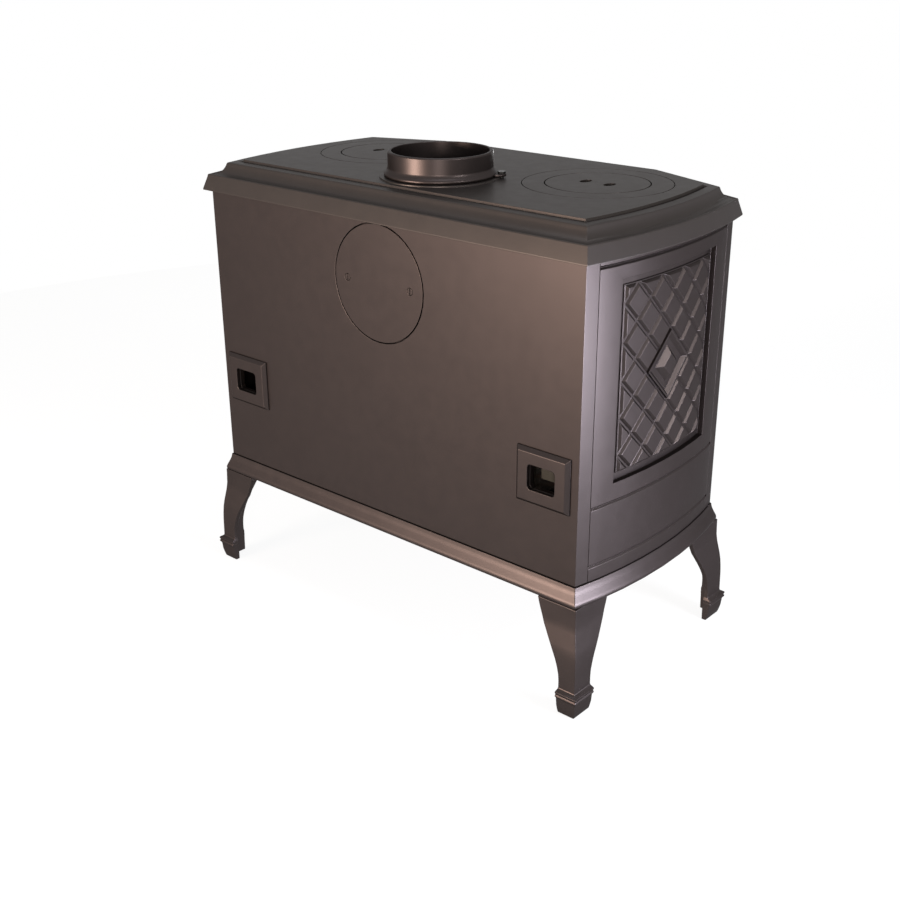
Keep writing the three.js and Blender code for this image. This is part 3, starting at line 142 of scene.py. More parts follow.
class StoveColours(bpy.types.PropertyGroup):
    """Colours of the stove's finishes."""

    body_paint: colour("Body paint", "Satin graphite paint on the castings", "#352F2E")
    top_paint: colour("Top paint", "The same paint, a little duller, on top and hob plates", "#383331")
    bare_iron: colour("Bare iron", "Heat-darkened iron inside the firebox", "#33302D")
    rust: colour("Rust", "Warm oxide in the pores of the bare iron", "#4A342A")
    zinc: colour("Zinc", "Dull zinc plating on the bolts and the ash pan", "#9A9A95")
    black_steel: colour("Black steel", "Black oxide on the lever, latch and slides", "#2B2A29")
    # The fireclay tone is darker than fired clay: painted shade for the dim inside of the firebox
    fireclay: colour("Fireclay", "Fired clay of the bricks", "#665F54")
    soot: colour("Soot", "Thin soot on the bricks", "#3A342E")
    board: colour("Baffle board", "Pressed mineral board of the baffle", "#C8B590")
    rope: colour("Rope", "Glass fibre rope and tape", "#77726A")
    phenolic: colour("Phenolic", "Black moulded grip and knobs", "#151413")
    smoke: colour("Glass tint", "Faint brown of the glass ceramic", "#B3A698")
    floor: colour("Floor", "White paper under the stove", "#FFFFFF")


# Selection and edit mode


def activate(piece):
    """Makes a piece the only selected one."""
    bpy.ops.object.select_all(action="DESELECT")
    piece.select_set(True)
    bpy.context.view_layer.objects.active = piece


def edit(piece, action="DESELECT"):
    """Opens a piece in edit mode with none or all of its points selected."""
    activate(piece)
    bpy.ops.object.mode_set(mode="EDIT")
    bpy.ops.mesh.select_mode(type="VERT")
    bpy.ops.mesh.select_all(action=action)


def leave():
    """Closes edit mode."""
    bpy.ops.object.mode_set(mode="OBJECT")


def apply_modifiers(piece):
    """Applies every modifier of a piece in order."""
    activate(piece)
    for modifier in list(piece.modifiers):
        bpy.ops.object.modifier_apply(modifier=modifier.name)


# Making and finishing pieces


def soften(piece, edge, segments=2, crease=CAST_CREASE):
    """Rounds the sharp edges and shades the rest smooth."""
    bevel = piece.modifiers.new("edges", "BEVEL")
    bevel.width = edge
    bevel.segments = segments
    bevel.limit_method = "ANGLE"
    bevel.angle_limit = math.radians(crease)
    bevel.use_clamp_overlap = False
    apply_modifiers(piece)
    bpy.ops.object.shade_smooth_by_angle(angle=math.radians(SMOOTH_BELOW))
    normals = piece.modifiers.new("normals", "WEIGHTED_NORMAL")
    normals.keep_sharp = True
    apply_modifiers(piece)


def finish_piece(piece, material, node):
    """Gives a piece its material and the body of the CAD node that it stands for, and hides that node.
    """
    piece.data.materials.clear()
    piece.data.materials.append(finish(material))
    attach(piece, NODE_BODY[node])
    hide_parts(node)
    return piece


def refined(node, edge, material, segments=2, crease=CAST_CREASE):
    """Copy of a CAD node with merged corners, rounded edges and its own material."""
    activate(frame["nodes"][node])
    bpy.ops.object.duplicate()
    piece = bpy.context.active_object
    bpy.ops.object.parent_clear(type="CLEAR_KEEP_TRANSFORM")
    for key in list(piece.keys()):
        del piece[key]
    piece.name = node + "_refined"
    piece.data.name = piece.name
    edit(piece, "SELECT")
    bpy.ops.mesh.remove_doubles(threshold=CAD_MERGE)
    bpy.ops.mesh.dissolve_degenerate(threshold=CAD_MERGE)
    bpy.ops.mesh.dissolve_limited(angle_limit=math.radians(FLAT_BELOW))
    leave()
    soften(piece, edge, segments, crease)
    return finish_piece(piece, material, node)


def turned(name, profile, centre, axis, steps=96):
    """Solid turned round an axis through a centre from an outline of (radius, along) points."""
    points = [centre + ACROSS * radius + axis * along for radius, along in profile]
    bpy.ops.object.select_all(action="DESELECT")
    bpy.ops.mesh.primitive_plane_add(size=MM)
    piece = bpy.context.active_object
    piece.name = name
    edit(piece, "SELECT")
    bpy.ops.mesh.merge(type="CENTER")
    bpy.ops.transform.translate(value=points[0])
    for start, end in zip(points, points[1:]):
        bpy.ops.mesh.extrude_region_move(TRANSFORM_OT_translate={"value": end - start})
    bpy.ops.mesh.select_all(action="SELECT")
    bpy.ops.mesh.spin(steps=steps, angle=FULL_TURN, center=centre, axis=axis)
    bpy.ops.mesh.select_all(action="SELECT")
    bpy.ops.mesh.remove_doubles(threshold=TURNED_MERGE)
    bpy.ops.mesh.normals_make_consistent(inside=False)
    leave()
    return piece


def bar(centre, axis, radius, depth, steps=48, stretch=(1, 1, 1)):
    """Round cutter on any axis, its place applied to its mesh."""
    bpy.ops.object.select_all(action="DESELECT")
    bpy.ops.mesh.primitive_cylinder_add(vertices=steps, radius=radius, depth=depth)
    piece = bpy.context.active_object
    turn = UP.rotation_difference(axis).to_matrix().to_4x4()
    piece.matrix_world = Matrix.Translation(centre) @ turn @ Matrix.Diagonal((*stretch, 1))
    bpy.ops.object.transform_apply(location=True, rotation=True, scale=True)
    return piece


def cut(piece, *cutters):
    """Takes the cutters out of a piece and deletes them."""
    for cutter in cutters:
        boolean = piece.modifiers.new("cut", "BOOLEAN")
        boolean.operation = "DIFFERENCE"
        boolean.solver = "EXACT"
        boolean.object = cutter
    apply_modifiers(piece)
    for cutter in cutters:
        bpy.data.objects.remove(cutter)
    return piece


def copied(piece, name, shift):
    """Copy of a piece with its own mesh, moved by a shift."""
    activate(piece)
    bpy.ops.object.duplicate()
    twin = bpy.context.active_object
    twin.name = name
    edit(twin, "SELECT")
    bpy.ops.transform.translate(value=shift)
    leave()
    return twin


def lengthen(piece, tail):
    """Moves the -X end of a piece outwards."""
    edit(piece)
    leave()
    end = min(vertex.co.x for vertex in piece.data.vertices)
    for vertex in piece.data.vertices:
        vertex.select = vertex.co.x < end + MM
    bpy.ops.object.mode_set(mode="EDIT")
    bpy.ops.transform.translate(value=(-tail, 0, 0))
    leave()


# Materials: every patch, grain and depth is in millimetres

MIX_SHARE, MIX_A, MIX_B, MIX_RESULT = 0, 6, 7, 2  # a Mix node's sockets for colours
NOISE_LOW, NOISE_HIGH = 0.3, 0.7  # nearly all of a noise lies between these


def feed(tree, node, links):
    """Links inputs of a node from other nodes' outputs."""
    for key, source in links.items():
        tree.links.new(source, node.inputs[key])


def add_node(tree, kind, settings=None, links=None):
    """Adds a node with its settings, and links its named inputs from other nodes' outputs."""
    node = tree.nodes.new(kind)
    for key, value in (settings or {}).items():
        if isinstance(key, str) and hasattr(node, key):
            setattr(node, key, value)
        else:
            node.inputs[key].default_value = value
    feed(tree, node, links or {})
    return node


def new_material(name, constants):
    """Material whose shader has these constants, with its tree and its shader."""
    material = bpy.data.materials.new(name)
    material.use_nodes = True
    tree = material.node_tree
    tree.nodes.clear()
    shader = add_node(tree, "ShaderNodeBsdfPrincipled", constants)
    add_node(tree, "ShaderNodeOutputMaterial", links={"Surface": shader.outputs["BSDF"]})
    return material, tree, shader


def millimetres(tree):
    """A piece's own coordinates in millimetres."""
    place = add_node(tree, "ShaderNodeTexCoord")
    scaled = add_node(
        tree, "ShaderNodeMapping", {"Scale": (1 / MM,) * 3}, {"Vector": place.outputs["Object"]}
    )
    return scaled.outputs["Vector"]


def shaded(tone, share):
    """A share of a tone."""
    return tuple(value * share for value in tone)


def patchy_colour(tree, place, dark, light, patch, low=0.35, high=0.65, detail=3.0):
    """Colour that wanders from patch to patch between two tones."""
    settings = {"Scale": 1 / patch, "Detail": detail}
    patches = add_node(tree, "ShaderNodeTexNoise", settings, {"Vector": place})
    ramp = add_node(tree, "ShaderNodeValToRGB", links={"Fac": patches.outputs["Fac"]})
    for stop, position, tone in zip(ramp.color_ramp.elements, (low, high), (dark, light)):
        stop.position = position
        stop.color = (*tone, 1)
    return ramp.outputs["Color"]


def patchy_value(tree, place, low, high, patch, detail=2.0):
    """Value that wanders from patch to patch between two limits."""
    settings = {"Scale": 1 / patch, "Detail": detail}
    patches = add_node(tree, "ShaderNodeTexNoise", settings, {"Vector": place})
    limits = {"From Min": NOISE_LOW, "From Max": NOISE_HIGH, "To Min": low, "To Max": high}
    ranged = add_node(tree, "ShaderNodeMapRange", limits, {"Value": patches.outputs["Fac"]})
    return ranged.outputs["Result"]


def uneven_surface(tree, place, grain, depth, detail=2.0, under=None):
    """Normal of a surface with bumps as wide as the grain, laid over another such normal."""
    settings = {"Scale": 1 / grain, "Detail": detail}
    bumps = add_node(tree, "ShaderNodeTexNoise", settings, {"Vector": place})
    links = {"Height": bumps.outputs["Fac"]}
    if under:
        links["Normal"] = under
    return add_node(tree, "ShaderNodeBump", {"Distance": depth * MM}, links).outputs["Normal"]


def satin_stove_paint(name, tone, roughness=0.37, metallic=0.88, edge=0.42):
    """Heat-proof satin paint with metal flake on sand-cast iron: a broad gloss, faint orange peel."""
    # The edge tint paints the gloss darker where the eye grazes the paint, by the share that edge gives:
    # painted shade in the reflections, standing for a darker surround than the white studio
    constants = {"Metallic": metallic, "Specular Tint": (edge, edge, edge, 1)}
    material, tree, shader = new_material(name, constants)
    place = millimetres(tree)
    coat = patchy_colour(tree, place, shaded(tone, 0.98), shaded(tone, 1.02), patch=70)
    # Real flake is near 0.05 mm; it is drawn as coarse as it needs to show
    glint = patchy_value(tree, place, 0.97, 1.03, patch=0.8, detail=1.0)
    flaked = add_node(
        tree, "ShaderNodeMix", {"data_type": "RGBA", "blend_type": "MULTIPLY", MIX_SHARE: 1.0},
        {MIX_A: coat, MIX_B: glint},
    )
    gloss = patchy_value(tree, place, roughness - 0.015, roughness + 0.02, patch=18, detail=3.0)
    peel = uneven_surface(tree, place, grain=2.2, depth=0.03)
    feed(tree, shader, {
        "Base Color": flaked.outputs[MIX_RESULT],
        "Roughness": gloss,
        "Normal": uneven_surface(tree, place, grain=45, depth=0.09, detail=1.0, under=peel),
    })
    return material


def dull_stove_paint(name, tone):
    """The same paint on the hot top, dulled by heat and wiping: its gloss is broader and weaker."""
    # Its edge tint again paints the top's grazing gloss darker: painted shade in the reflections
    return satin_stove_paint(name, tone, roughness=0.4, metallic=0.8, edge=0.46)


def heat_darkened_iron(name, tone, rust):
    """Bare sand-cast iron blackened by heat: dull, pitted, with a warm oxide in its pores."""
    material, tree, shader = new_material(name, {"Metallic": 0.5})
    place = millimetres(tree)
    feed(tree, shader, {
        "Base Color": patchy_colour(
            tree, place, shaded(rust, 0.8), tone, patch=22, low=0.3, high=0.5, detail=6.0
        ),
        "Roughness": patchy_value(tree, place, 0.55, 0.85, patch=8, detail=4.0),
        "Normal": uneven_surface(tree, place, grain=1.5, depth=0.25, detail=5.0),
    })
    return material


def zinc_plate(name, tone):
    """Zinc-plated steel, passivated: a soft grey metal with cloudy spangle."""
    # The crystals between the clouds are finer than 0.1 mm and are drawn as coarse as they need to show
    material, tree, shader = new_material(name, {"Metallic": 1.0})
    place = millimetres(tree)
    feed(tree, shader, {
        "Base Color": patchy_colour(tree, place, shaded(tone, 0.82), tone, patch=7),
        "Roughness": patchy_value(tree, place, 0.3, 0.48, patch=5),
        "Normal": uneven_surface(tree, place, grain=1.2, depth=0.02),
    })
    return material


def black_oxide_steel(name, tone):
    """Machined steel with a hot black oxide: nearly black, with a thin oily sheen."""
    # Its grain is finer than 0.1 mm and is drawn as coarse as it needs to show
    material, tree, shader = new_material(name, {"Metallic": 0.8})
    place = millimetres(tree)
    feed(tree, shader, {
        "Base Color": patchy_colour(tree, place, shaded(tone, 0.8), shaded(tone, 1.15), patch=12),
        "Roughness": patchy_value(tree, place, 0.3, 0.45, patch=3),
        "Normal": uneven_surface(tree, place, grain=0.8, depth=0.015),
    })
    return material


def fired_clay(name, tone, soot):
    """Dry-pressed firebrick: matt, sandy, and smoked a little by the fire."""
    material, tree, shader = new_material(name, {"Roughness": 0.95})
    place = millimetres(tree)
    feed(tree, shader, {
        "Base Color": patchy_colour(tree, place, soot, tone, patch=90, low=0.25, high=0.5, detail=5.0),
        "Normal": uneven_surface(tree, place, grain=1.1, depth=0.35, detail=4.0),
    })
    return material


def mineral_board(name, tone):
    """Pressed mineral board: as matt and sandy as the bricks, with darker patches of its own tone."""
    return fired_clay(name, tone, soot=shaded(tone, 0.7))


def woven_fibre(name, tone, weave=2.5, depth=0.5):
    """Knitted glass fibre rope and tape: matt, with a slanting weave."""
    material, tree, shader = new_material(name, {"Roughness": 0.95, "Sheen Weight": 0.3})
    place = millimetres(tree)
    slant = {"Rotation": (0.6, 0.6, 0.8), "Scale": (1 / weave,) * 3}
    slanted = add_node(tree, "ShaderNodeMapping", slant, {"Vector": place})
    strands = add_node(
        tree, "ShaderNodeTexChecker", {"Scale": 1.0}, {"Vector": slanted.outputs["Vector"]}
    )
    relief = add_node(
        tree, "ShaderNodeBump", {"Distance": depth * MM}, {"Height": strands.outputs["Fac"]}
    )
    feed(tree, shader, {
        "Base Color": patchy_colour(tree, place, shaded(tone, 0.7), shaded(tone, 1.15), patch=3),
        "Normal": relief.outputs["Normal"],
    })
    return material


def moulded_phenolic(name, tone):
    """Black phenolic moulding: hard and smooth with a low gloss."""
    material, tree, shader = new_material(name, {"Roughness": 0.26})
    place = millimetres(tree)
    feed(tree, shader, {
        "Base Color": patchy_colour(tree, place, shaded(tone, 0.85), shaded(tone, 1.2), patch=10),
        "Normal": uneven_surface(tree, place, grain=4, depth=0.01, detail=1.0),
    })
    return material


def ceramic_glass(name, tone):
    """Heat-proof glass ceramic, polished: clear, with a faint brown cast."""
    constants = {"Base Color": (*tone, 1), "Transmission Weight": 0.92, "IOR": 1.54, "Roughness": 0.01}
    return new_material(name, constants)[0]


def finish(key):
    """The material of a kind of finish, made from the colours when it is first needed."""
    colours = bpy.context.scene.stove_colours
    makers = {
        "satin_graphite_paint": (satin_stove_paint, colours.body_paint),
        "dull_graphite_paint": (dull_stove_paint, colours.top_paint),
        "heat_darkened_iron": (heat_darkened_iron, colours.bare_iron, colours.rust),
        "passivated_zinc_plate": (zinc_plate, colours.zinc),
        "black_oxide_steel": (black_oxide_steel, colours.black_steel),
        "sooty_fireclay": (fired_clay, colours.fireclay, colours.soot),
        "pressed_mineral_board": (mineral_board, colours.board),
        "woven_glass_fibre": (woven_fibre, colours.rope),
        "moulded_black_phenolic": (moulded_phenolic, colours.phenolic),
        "smoked_glass_ceramic": (ceramic_glass, colours.smoke),
    }
    maker, *tones = makers[key]
    return bpy.data.materials.get(key) or maker(key, *tones)


# Castings

BODY_CASTINGS = (
    "base_plate", "rear_panel", "air_inlet_frame_right", "air_inlet_frame_left", "ash_drawer_front",
    "door_frame",
)
LATTICED = ("side_casting_right", "side_casting_left", "front_casting")
CORNERS = ("rear_right", "rear_left", "front_right", "front_left")


class STOVE_OT_castings(bpy.types.Operator):
    """Body castings with rounded edges: base, rear panel, frames, drawer front and door."""

    bl_idname = "stove.castings"
    bl_label = "Body castings"

    def execute(self, context):
        sizes = context.scene.stove_sizes
        for node in BODY_CASTINGS:
            refined(node, sizes.casting_edge, "satin_graphite_paint")
        return {"FINISHED"}


class STOVE_OT_sides(bpy.types.Operator):
    """Bowed side castings and the front casting, with their lattice panels."""

    bl_idname = "stove.sides"
    bl_label = "Sides and front"

    def execute(self, context):
        sizes = context.scene.stove_sizes
        for node in LATTICED:
            refined(node, sizes.lattice_edge, "satin_graphite_paint", crease=LATTICE_CREASE)
        return {"FINISHED"}


class STOVE_OT_top_plate(bpy.types.Operator):
    """Top plate with its moulded edge."""

    bl_idname = "stove.top_plate"
    bl_label = "Top plate"

    def execute(self, context):
        sizes = context.scene.stove_sizes
        refined("top_plate", sizes.moulding_edge, "dull_graphite_paint", crease=MOULDED_CREASE)
        return {"FINISHED"}


class STOVE_OT_legs(bpy.types.Operator):
    """Cabriole legs with soft ridges and moulded feet."""

    bl_idname = "stove.legs"
    bl_label = "Legs"

    def execute(self, context):
        sizes = context.scene.stove_sizes
        for corner in CORNERS:
            refined("leg_" + corner, sizes.leg_edge, "satin_graphite_paint", crease=ROUND_CREASE)
        return {"FINISHED"}


def hob_disc(node, sizes):
    """Flat disc with two oval lifting holes, in place of a CAD disc."""
    low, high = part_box(node)
    centre = Vector(((low.x + high.x) / 2, (low.y + high.y) / 2, low.z))
    radius = (high.x - low.x) / 2 - sizes.hob_gap / 2
    thick = high.z - low.z
    disc = turned(node + "_turned", [(0, 0), (radius, 0), (radius, thick), (0, thick)], centre, UP)
    offset = ACROSS * sizes.lift_offset
    oval = (1, sizes.lift_length / sizes.lift_width, 1)
    holes = [
        bar(place, UP, sizes.lift_width / 2, THROUGH * thick, stretch=oval)
        for place in (centre - offset, centre + offset)
    ]
    return cut(disc, *holes)


def hob_ring(node, disc, sizes):
    """Ring with a ledge under its disc and a spigot that centres it in the top plate."""
    low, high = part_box(node)
    disc_low, disc_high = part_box(disc)
    centre = Vector(((low.x + high.x) / 2, (low.y + high.y) / 2, disc_low.z))
    outer = (high.x - low.x) / 2 - sizes.hob_gap / 2
    inner = (disc_high.x - disc_low.x) / 2 + sizes.hob_gap / 2
    thick = disc_high.z - disc_low.z
    drop = disc_low.z - low.z
    spigot = outer - sizes.hob_ledge
    hole = inner - sizes.hob_ledge
    under = -sizes.hob_edge / 2
    profile = [
        (hole, -drop), (spigot, -drop), (spigot, 0), (outer, 0), (outer, thick), (inner, thick),
        (inner, under), (hole, under), (hole, -drop),
    ]
    return turned(node + "_turned", profile, centre, UP)


class STOVE_OT_hob(bpy.types.Operator):
    """Hob rings and discs, turned, with oval lifting holes."""

    bl_idname = "stove.hob"
    bl_label = "Hob plates"

    def execute(self, context):
        sizes = context.scene.stove_sizes
        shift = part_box("hob_ring_left")[0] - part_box("hob_ring_right")[0]
        for kind, piece in (
            ("hob_disc_", hob_disc("hob_disc_right", sizes)),
            ("hob_ring_", hob_ring("hob_ring_right", "hob_disc_right", sizes)),
        ):
            twin = copied(piece, kind + "left_turned", shift)
            for side, item in zip(SIDES, (piece, twin)):
                soften(item, sizes.hob_edge, segments=3, crease=MOULDED_CREASE)
                finish_piece(item, "dull_graphite_paint", kind + side)
        return {"FINISHED"}


class STOVE_OT_flue_collar(bpy.types.Operator):
    """Flue collar with its ears and screws."""

    bl_idname = "stove.flue_collar"
    bl_label = "Flue collar"

    def execute(self, context):
        sizes = context.scene.stove_sizes
        refined("flue_collar", sizes.casting_edge, "satin_graphite_paint", crease=MOULDED_CREASE)
        for side in SIDES:
            refined("collar_screw_" + side, sizes.sheet_edge, "black_oxide_steel", crease=ROUND_CREASE)
        return {"FINISHED"}


class STOVE_OT_blanking_plate(bpy.types.Operator):
    """Round plate over the rear flue opening, with its two countersunk screws."""

    bl_idname = "stove.blanking_plate"
    bl_label = "Blanking plate"

    def execute(self, context):
        sizes = context.scene.stove_sizes
        low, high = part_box("blanking_plate")
        centre = Vector((0, high.y, (low.z + high.z) / 2))
        radius = (high.x - low.x) / 2 - sizes.plate_gap
        thick = high.y - low.y
        outline = [(0, 0), (radius, 0), (radius, thick), (0, thick)]
        plate = turned("blanking_plate_turned", outline, centre, FRONT, steps=128)
        holes = []
        for side in SIDES:
            screw_low, screw_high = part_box("blanking_plate_screw_" + side)
            place = Vector(((screw_low.x + screw_high.x) / 2, high.y, centre.z))
            holes.append(bar(place, FRONT, sizes.plate_hole, THROUGH * thick))
        cut(plate, *holes)
        soften(plate, sizes.sheet_edge, crease=MOULDED_CREASE)
        finish_piece(plate, "satin_graphite_paint", "blanking_plate")
        for side in SIDES:
            screw = "blanking_plate_screw_" + side
            refined(screw, sizes.screw_edge, "satin_graphite_paint", crease=ROUND_CREASE)
        return {"FINISHED"}


# Fire, door and drawer


class STOVE_OT_firebox(bpy.types.Operator):
    """Hearth, grate, log guard, bricks and baffle inside the firebox."""

    bl_idname = "stove.firebox"
    bl_label = "Firebox"

    def execute(self, context):
        sizes = context.scene.stove_sizes
        for node in ("hearth_plate", "fire_grate", "log_guard"):
            refined(node, sizes.hidden_edge, "heat_darkened_iron")
        for node in ("rear_firebrick", "side_firebrick_right", "side_firebrick_left"):
            # Their darker tone is painted shade for the dim firebox; the soot patches on it are random
            refined(node, sizes.brick_edge, "sooty_fireclay", segments=3)
        refined("baffle_board", sizes.hidden_edge, "pressed_mineral_board")
        return {"FINISHED"}


class STOVE_OT_door(bpy.types.Operator):
    """Glass, gasket, clips, rope seal and hinge pins of the door."""

    bl_idname = "stove.door"
    bl_label = "Door fittings"

    def execute(self, context):
        sizes = context.scene.stove_sizes
        refined("door_glass", sizes.sheet_edge, "smoked_glass_ceramic")
        refined("glass_gasket", sizes.sheet_edge, "woven_glass_fibre")
        refined("door_rope_seal", sizes.rope_edge, "woven_glass_fibre", segments=4)
        for level in LEVELS:
            for kind in ("glass_clip_", "glass_clip_screw_", "hinge_pin_"):
                refined(kind + level, sizes.sheet_edge, "passivated_zinc_plate", crease=ROUND_CREASE)
        return {"FINISHED"}


class STOVE_OT_handle(bpy.types.Operator):
    """Door handle: lever, grip, spindle and latch tongue."""

    bl_idname = "stove.handle"
    bl_label = "Handle"

    def execute(self, context):
        sizes = context.scene.stove_sizes
        for node, material in (
            ("handle_lever", "black_oxide_steel"),
            ("handle_spindle", "passivated_zinc_plate"),
            ("latch_tongue", "black_oxide_steel"),
            ("handle_grip", "moulded_black_phenolic"),
        ):
            refined(node, sizes.sheet_edge, material, crease=ROUND_CREASE)
        return {"FINISHED"}


class STOVE_OT_drawer(bpy.types.Operator):
    """Ash pan, air slides and their knobs."""

    bl_idname = "stove.drawer"
    bl_label = "Ash pan and slides"

    def execute(self, context):
        sizes = context.scene.stove_sizes
        refined("ash_pan", sizes.sheet_edge, "passivated_zinc_plate")
        refined("airwash_slide", sizes.sheet_edge, "black_oxide_steel")
        slide = refined("primary_air_slide", sizes.sheet_edge, "black_oxide_steel")
        lengthen(slide, sizes.slide_tail)
        for node in ("ash_drawer_knob", "primary_air_knob", "airwash_knob"):
            refined(node, sizes.sheet_edge, "moulded_black_phenolic", crease=ROUND_CREASE)
        return {"FINISHED"}


class STOVE_OT_bolts(bpy.types.Operator):
    """Leg bolts and the long tie bolts."""

    bl_idname = "stove.bolts"
    bl_label = "Bolts"

    def execute(self, context):
        sizes = context.scene.stove_sizes
        for kind in ("leg_bolt_", "tie_bolt_"):
            for corner in CORNERS:
                refined(kind + corner, sizes.sheet_edge, "passivated_zinc_plate", crease=ROUND_CREASE)
        return {"FINISHED"}


# Stage

PHOTO_WIDTH = 900
SENSOR = 36
FOCAL_PIXELS = 1256.28
CAMERA_PLACE = Vector((-1194.32, 1418.99, 1007.93)) * MM
CAMERA_YAW = 2.417
CAMERA_PITCH = -0.401
CAMERA_ROLL = 0.007
CAMERA_NEAR = 0.05
CAMERA_FAR = 200

FLOOR_REACH = 2.2
FLOOR_STEPS = 96
PAPER_GLOW = 0.9
SOFT_LIGHT = 0.5
WHITE = (1, 1, 1, 1)

# Name, place, target, size, watts and tint of each lamp
LAMPS = (
    ("rear_softbox", (0.7, 2.8, 0.5), (-0.1, 0.2, 0.45), (1.0, 0.8), 142, "#FFE8D6"),
    ("side_softbox", (-1.4, -0.05, 0.25), (-0.35, 0.2, 0.25), (0.4, 0.4), 41, "#E8EEFF"),
    ("corner_softbox", (-1.7, 2.2, 0.9), (-0.2, 0.2, 0.4), (0.5, 0.5), 36, "#FFF4EC"),
    ("high_side_lamp", (-2.2, 0.3, 1.6), (-0.36, 0.05, 0.42), (0.22, 0.22), 19, "#FFFFFF"),
    ("top_softbox", (0, 0, 2.4), (0, 0, 0.6), (1.2, 1.2), 17, "#EEF6FF"),
    ("front_softbox", (1.3, -2.4, 0.28), (0, -0.2, 0.35), (1.4, 0.5), 16, "#FFFFFF"),
)


def camera_frame():
    """Right, up and backward directions of the camera."""
    ahead = Vector((
        math.sin(CAMERA_YAW) * math.cos(CAMERA_PITCH),
        math.cos(CAMERA_YAW) * math.cos(CAMERA_PITCH),
        math.sin(CAMERA_PITCH),
    ))
    right = ahead.cross(UP).normalized()
    down = ahead.cross(right)
    rolled_right = right * math.cos(CAMERA_ROLL) + down * math.sin(CAMERA_ROLL)
    rolled_down = down * math.cos(CAMERA_ROLL) - right * math.sin(CAMERA_ROLL)
    return rolled_right, -rolled_down, -ahead


def area_light(name, place, target, size, power, tint):
    """Soft rectangular lamp aimed at a point."""
    bpy.ops.object.light_add(type="AREA", location=place)
    lamp = bpy.context.active_object
    lamp.name = name
    lamp.rotation_mode = "QUATERNION"
    lamp.rotation_quaternion = (Vector(place) - Vector(target)).to_track_quat("Z", "Y")
    lamp.data.shape = "RECTANGLE"
    lamp.data.size, lamp.data.size_y = size
    lamp.data.energy = power
    lamp.data.color = linear(tint)


def seen_ray(tree):
    """1 for what the eye, a gloss or the glass sees, 0 for soft light from all round."""
    path = add_node(tree, "ShaderNodeLightPath").outputs
    seen = path["Is Camera Ray"]
    for kind in ("Is Glossy Ray", "Is Transmission Ray"):
        either = add_node(tree, "ShaderNodeMath", {"operation": "MAXIMUM"}, {0: seen, 1: path[kind]})
        seen = either.outputs["Value"]
    return seen


def white_paper(colours):
    """White studio paper that keeps a faint shadow."""
    constants = {"Base Color": (*colours.floor, 1), "Roughness": 0.9}
    paper, tree, shader = new_material("white_paper", constants)
    share = add_node(
        tree, "ShaderNodeMapRange", {"To Min": 0.0, "To Max": PAPER_GLOW}, {"Value": seen_ray(tree)}
    ).outputs["Result"]
    glow = add_node(tree, "ShaderNodeEmission", {"Color": WHITE, "Strength": 1.0})
    layers = {0: share, 1: shader.outputs["BSDF"], 2: glow.outputs["Emission"]}
    mixed = add_node(tree, "ShaderNodeMixShader", links=layers)
    output = next(node for node in tree.nodes if node.type == "OUTPUT_MATERIAL")
    feed(tree, output, {"Surface": mixed.outputs["Shader"]})
    return paper


def studio_air():
    """White backdrop, also in reflections, that gives only a little soft light."""
    world = bpy.data.worlds.new("studio_air")
    world.use_nodes = True
    air = world.node_tree
    air.nodes.clear()
    strength = add_node(
        air, "ShaderNodeMapRange", {"To Min": SOFT_LIGHT, "To Max": 1.0}, {"Value": seen_ray(air)}
    ).outputs["Result"]
    glow = add_node(air, "ShaderNodeBackground", {"Color": WHITE}, {"Strength": strength})
    add_node(air, "ShaderNodeOutputWorld", links={"Surface": glow.outputs["Background"]})
    return world


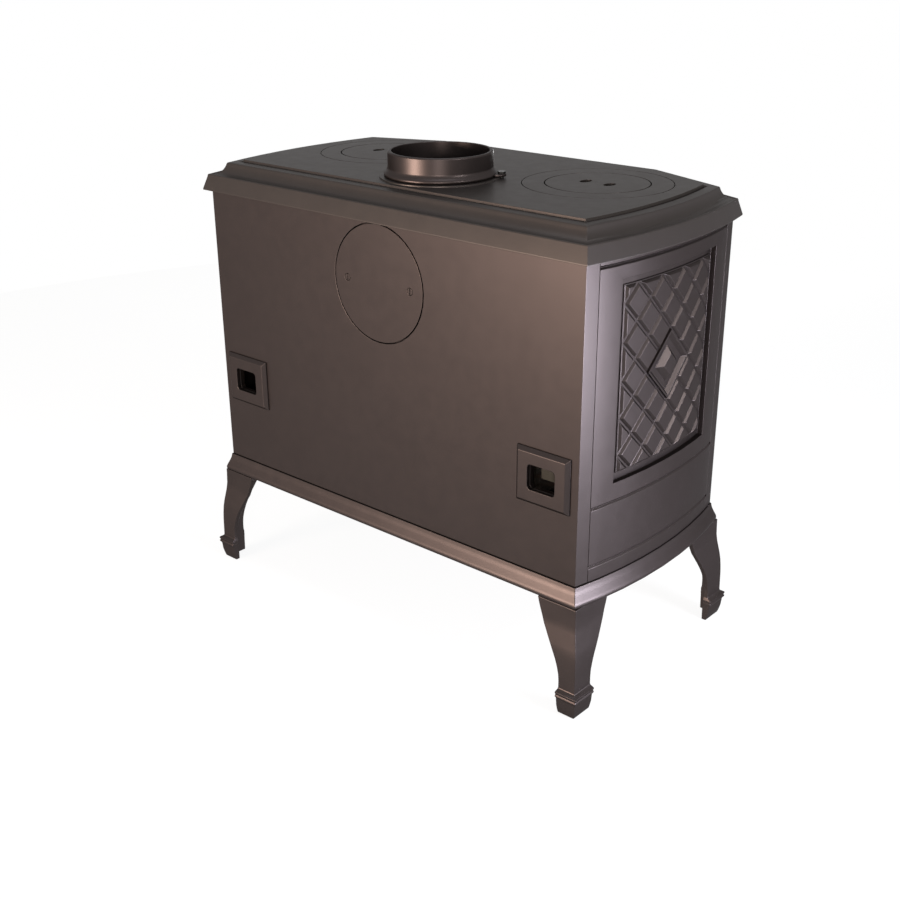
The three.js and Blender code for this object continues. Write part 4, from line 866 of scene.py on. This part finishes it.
class STOVE_OT_stage(bpy.types.Operator):
    """White floor and backdrop, soft lamps and the camera."""

    bl_idname = "stove.stage"
    bl_label = "Stage"

    def execute(self, context):
        scene = context.scene
        bpy.ops.object.select_all(action="DESELECT")
        bpy.ops.mesh.primitive_circle_add(vertices=FLOOR_STEPS, radius=FLOOR_REACH, fill_type="NGON")
        floor = bpy.context.active_object
        floor.name = "studio_floor"
        floor.data.materials.append(white_paper(scene.stove_colours))
        scene.world = studio_air()
        for lamp in LAMPS:
            area_light(*lamp)

        bpy.ops.object.camera_add()
        camera = bpy.context.active_object
        turn = Matrix(camera_frame()).transposed().to_4x4()
        camera.matrix_world = Matrix.Translation(CAMERA_PLACE) @ turn
        camera.data.sensor_width = SENSOR
        camera.data.lens = FOCAL_PIXELS / PHOTO_WIDTH * SENSOR
        camera.data.clip_start = CAMERA_NEAR
        camera.data.clip_end = CAMERA_FAR
        scene.camera = camera
        scene.view_settings.view_transform = "Standard"
        return {"FINISHED"}


# Add-on

OPERATORS = (
    STOVE_OT_castings, STOVE_OT_sides, STOVE_OT_top_plate, STOVE_OT_legs, STOVE_OT_hob,
    STOVE_OT_flue_collar, STOVE_OT_blanking_plate, STOVE_OT_firebox, STOVE_OT_door, STOVE_OT_handle,
    STOVE_OT_drawer, STOVE_OT_bolts, STOVE_OT_stage,
)


class STOVE_PT_panel(bpy.types.Panel):
    """The stove's sizes, colours and pieces."""

    bl_idname = "STOVE_PT_panel"
    bl_label = "Wood stove"
    bl_space_type = "VIEW_3D"
    bl_region_type = "UI"
    bl_category = "Stove"

    def draw(self, context):
        for group in (context.scene.stove_sizes, context.scene.stove_colours):
            box = self.layout.box()
            for key in group.__annotations__:
                box.prop(group, key)
        for operator in OPERATORS:
            self.layout.operator(operator.bl_idname)


CLASSES = (StoveSizes, StoveColours, *OPERATORS, STOVE_PT_panel)


def register():
    """Registers the classes and gives the scene its sizes and colours."""
    for item in CLASSES:
        bpy.utils.register_class(item)
    bpy.types.Scene.stove_sizes = bpy.props.PointerProperty(type=StoveSizes)
    bpy.types.Scene.stove_colours = bpy.props.PointerProperty(type=StoveColours)


def unregister():
    """Takes away what register gives."""
    del bpy.types.Scene.stove_sizes
    del bpy.types.Scene.stove_colours
    for item in reversed(CLASSES):
        bpy.utils.unregister_class(item)


def main():
    """Builds every piece in order."""
    register()
    for operator in OPERATORS:
        name = operator.bl_idname.split(".")[1]
        getattr(bpy.ops.stove, name)()


if __name__ == "__main__":
    main()
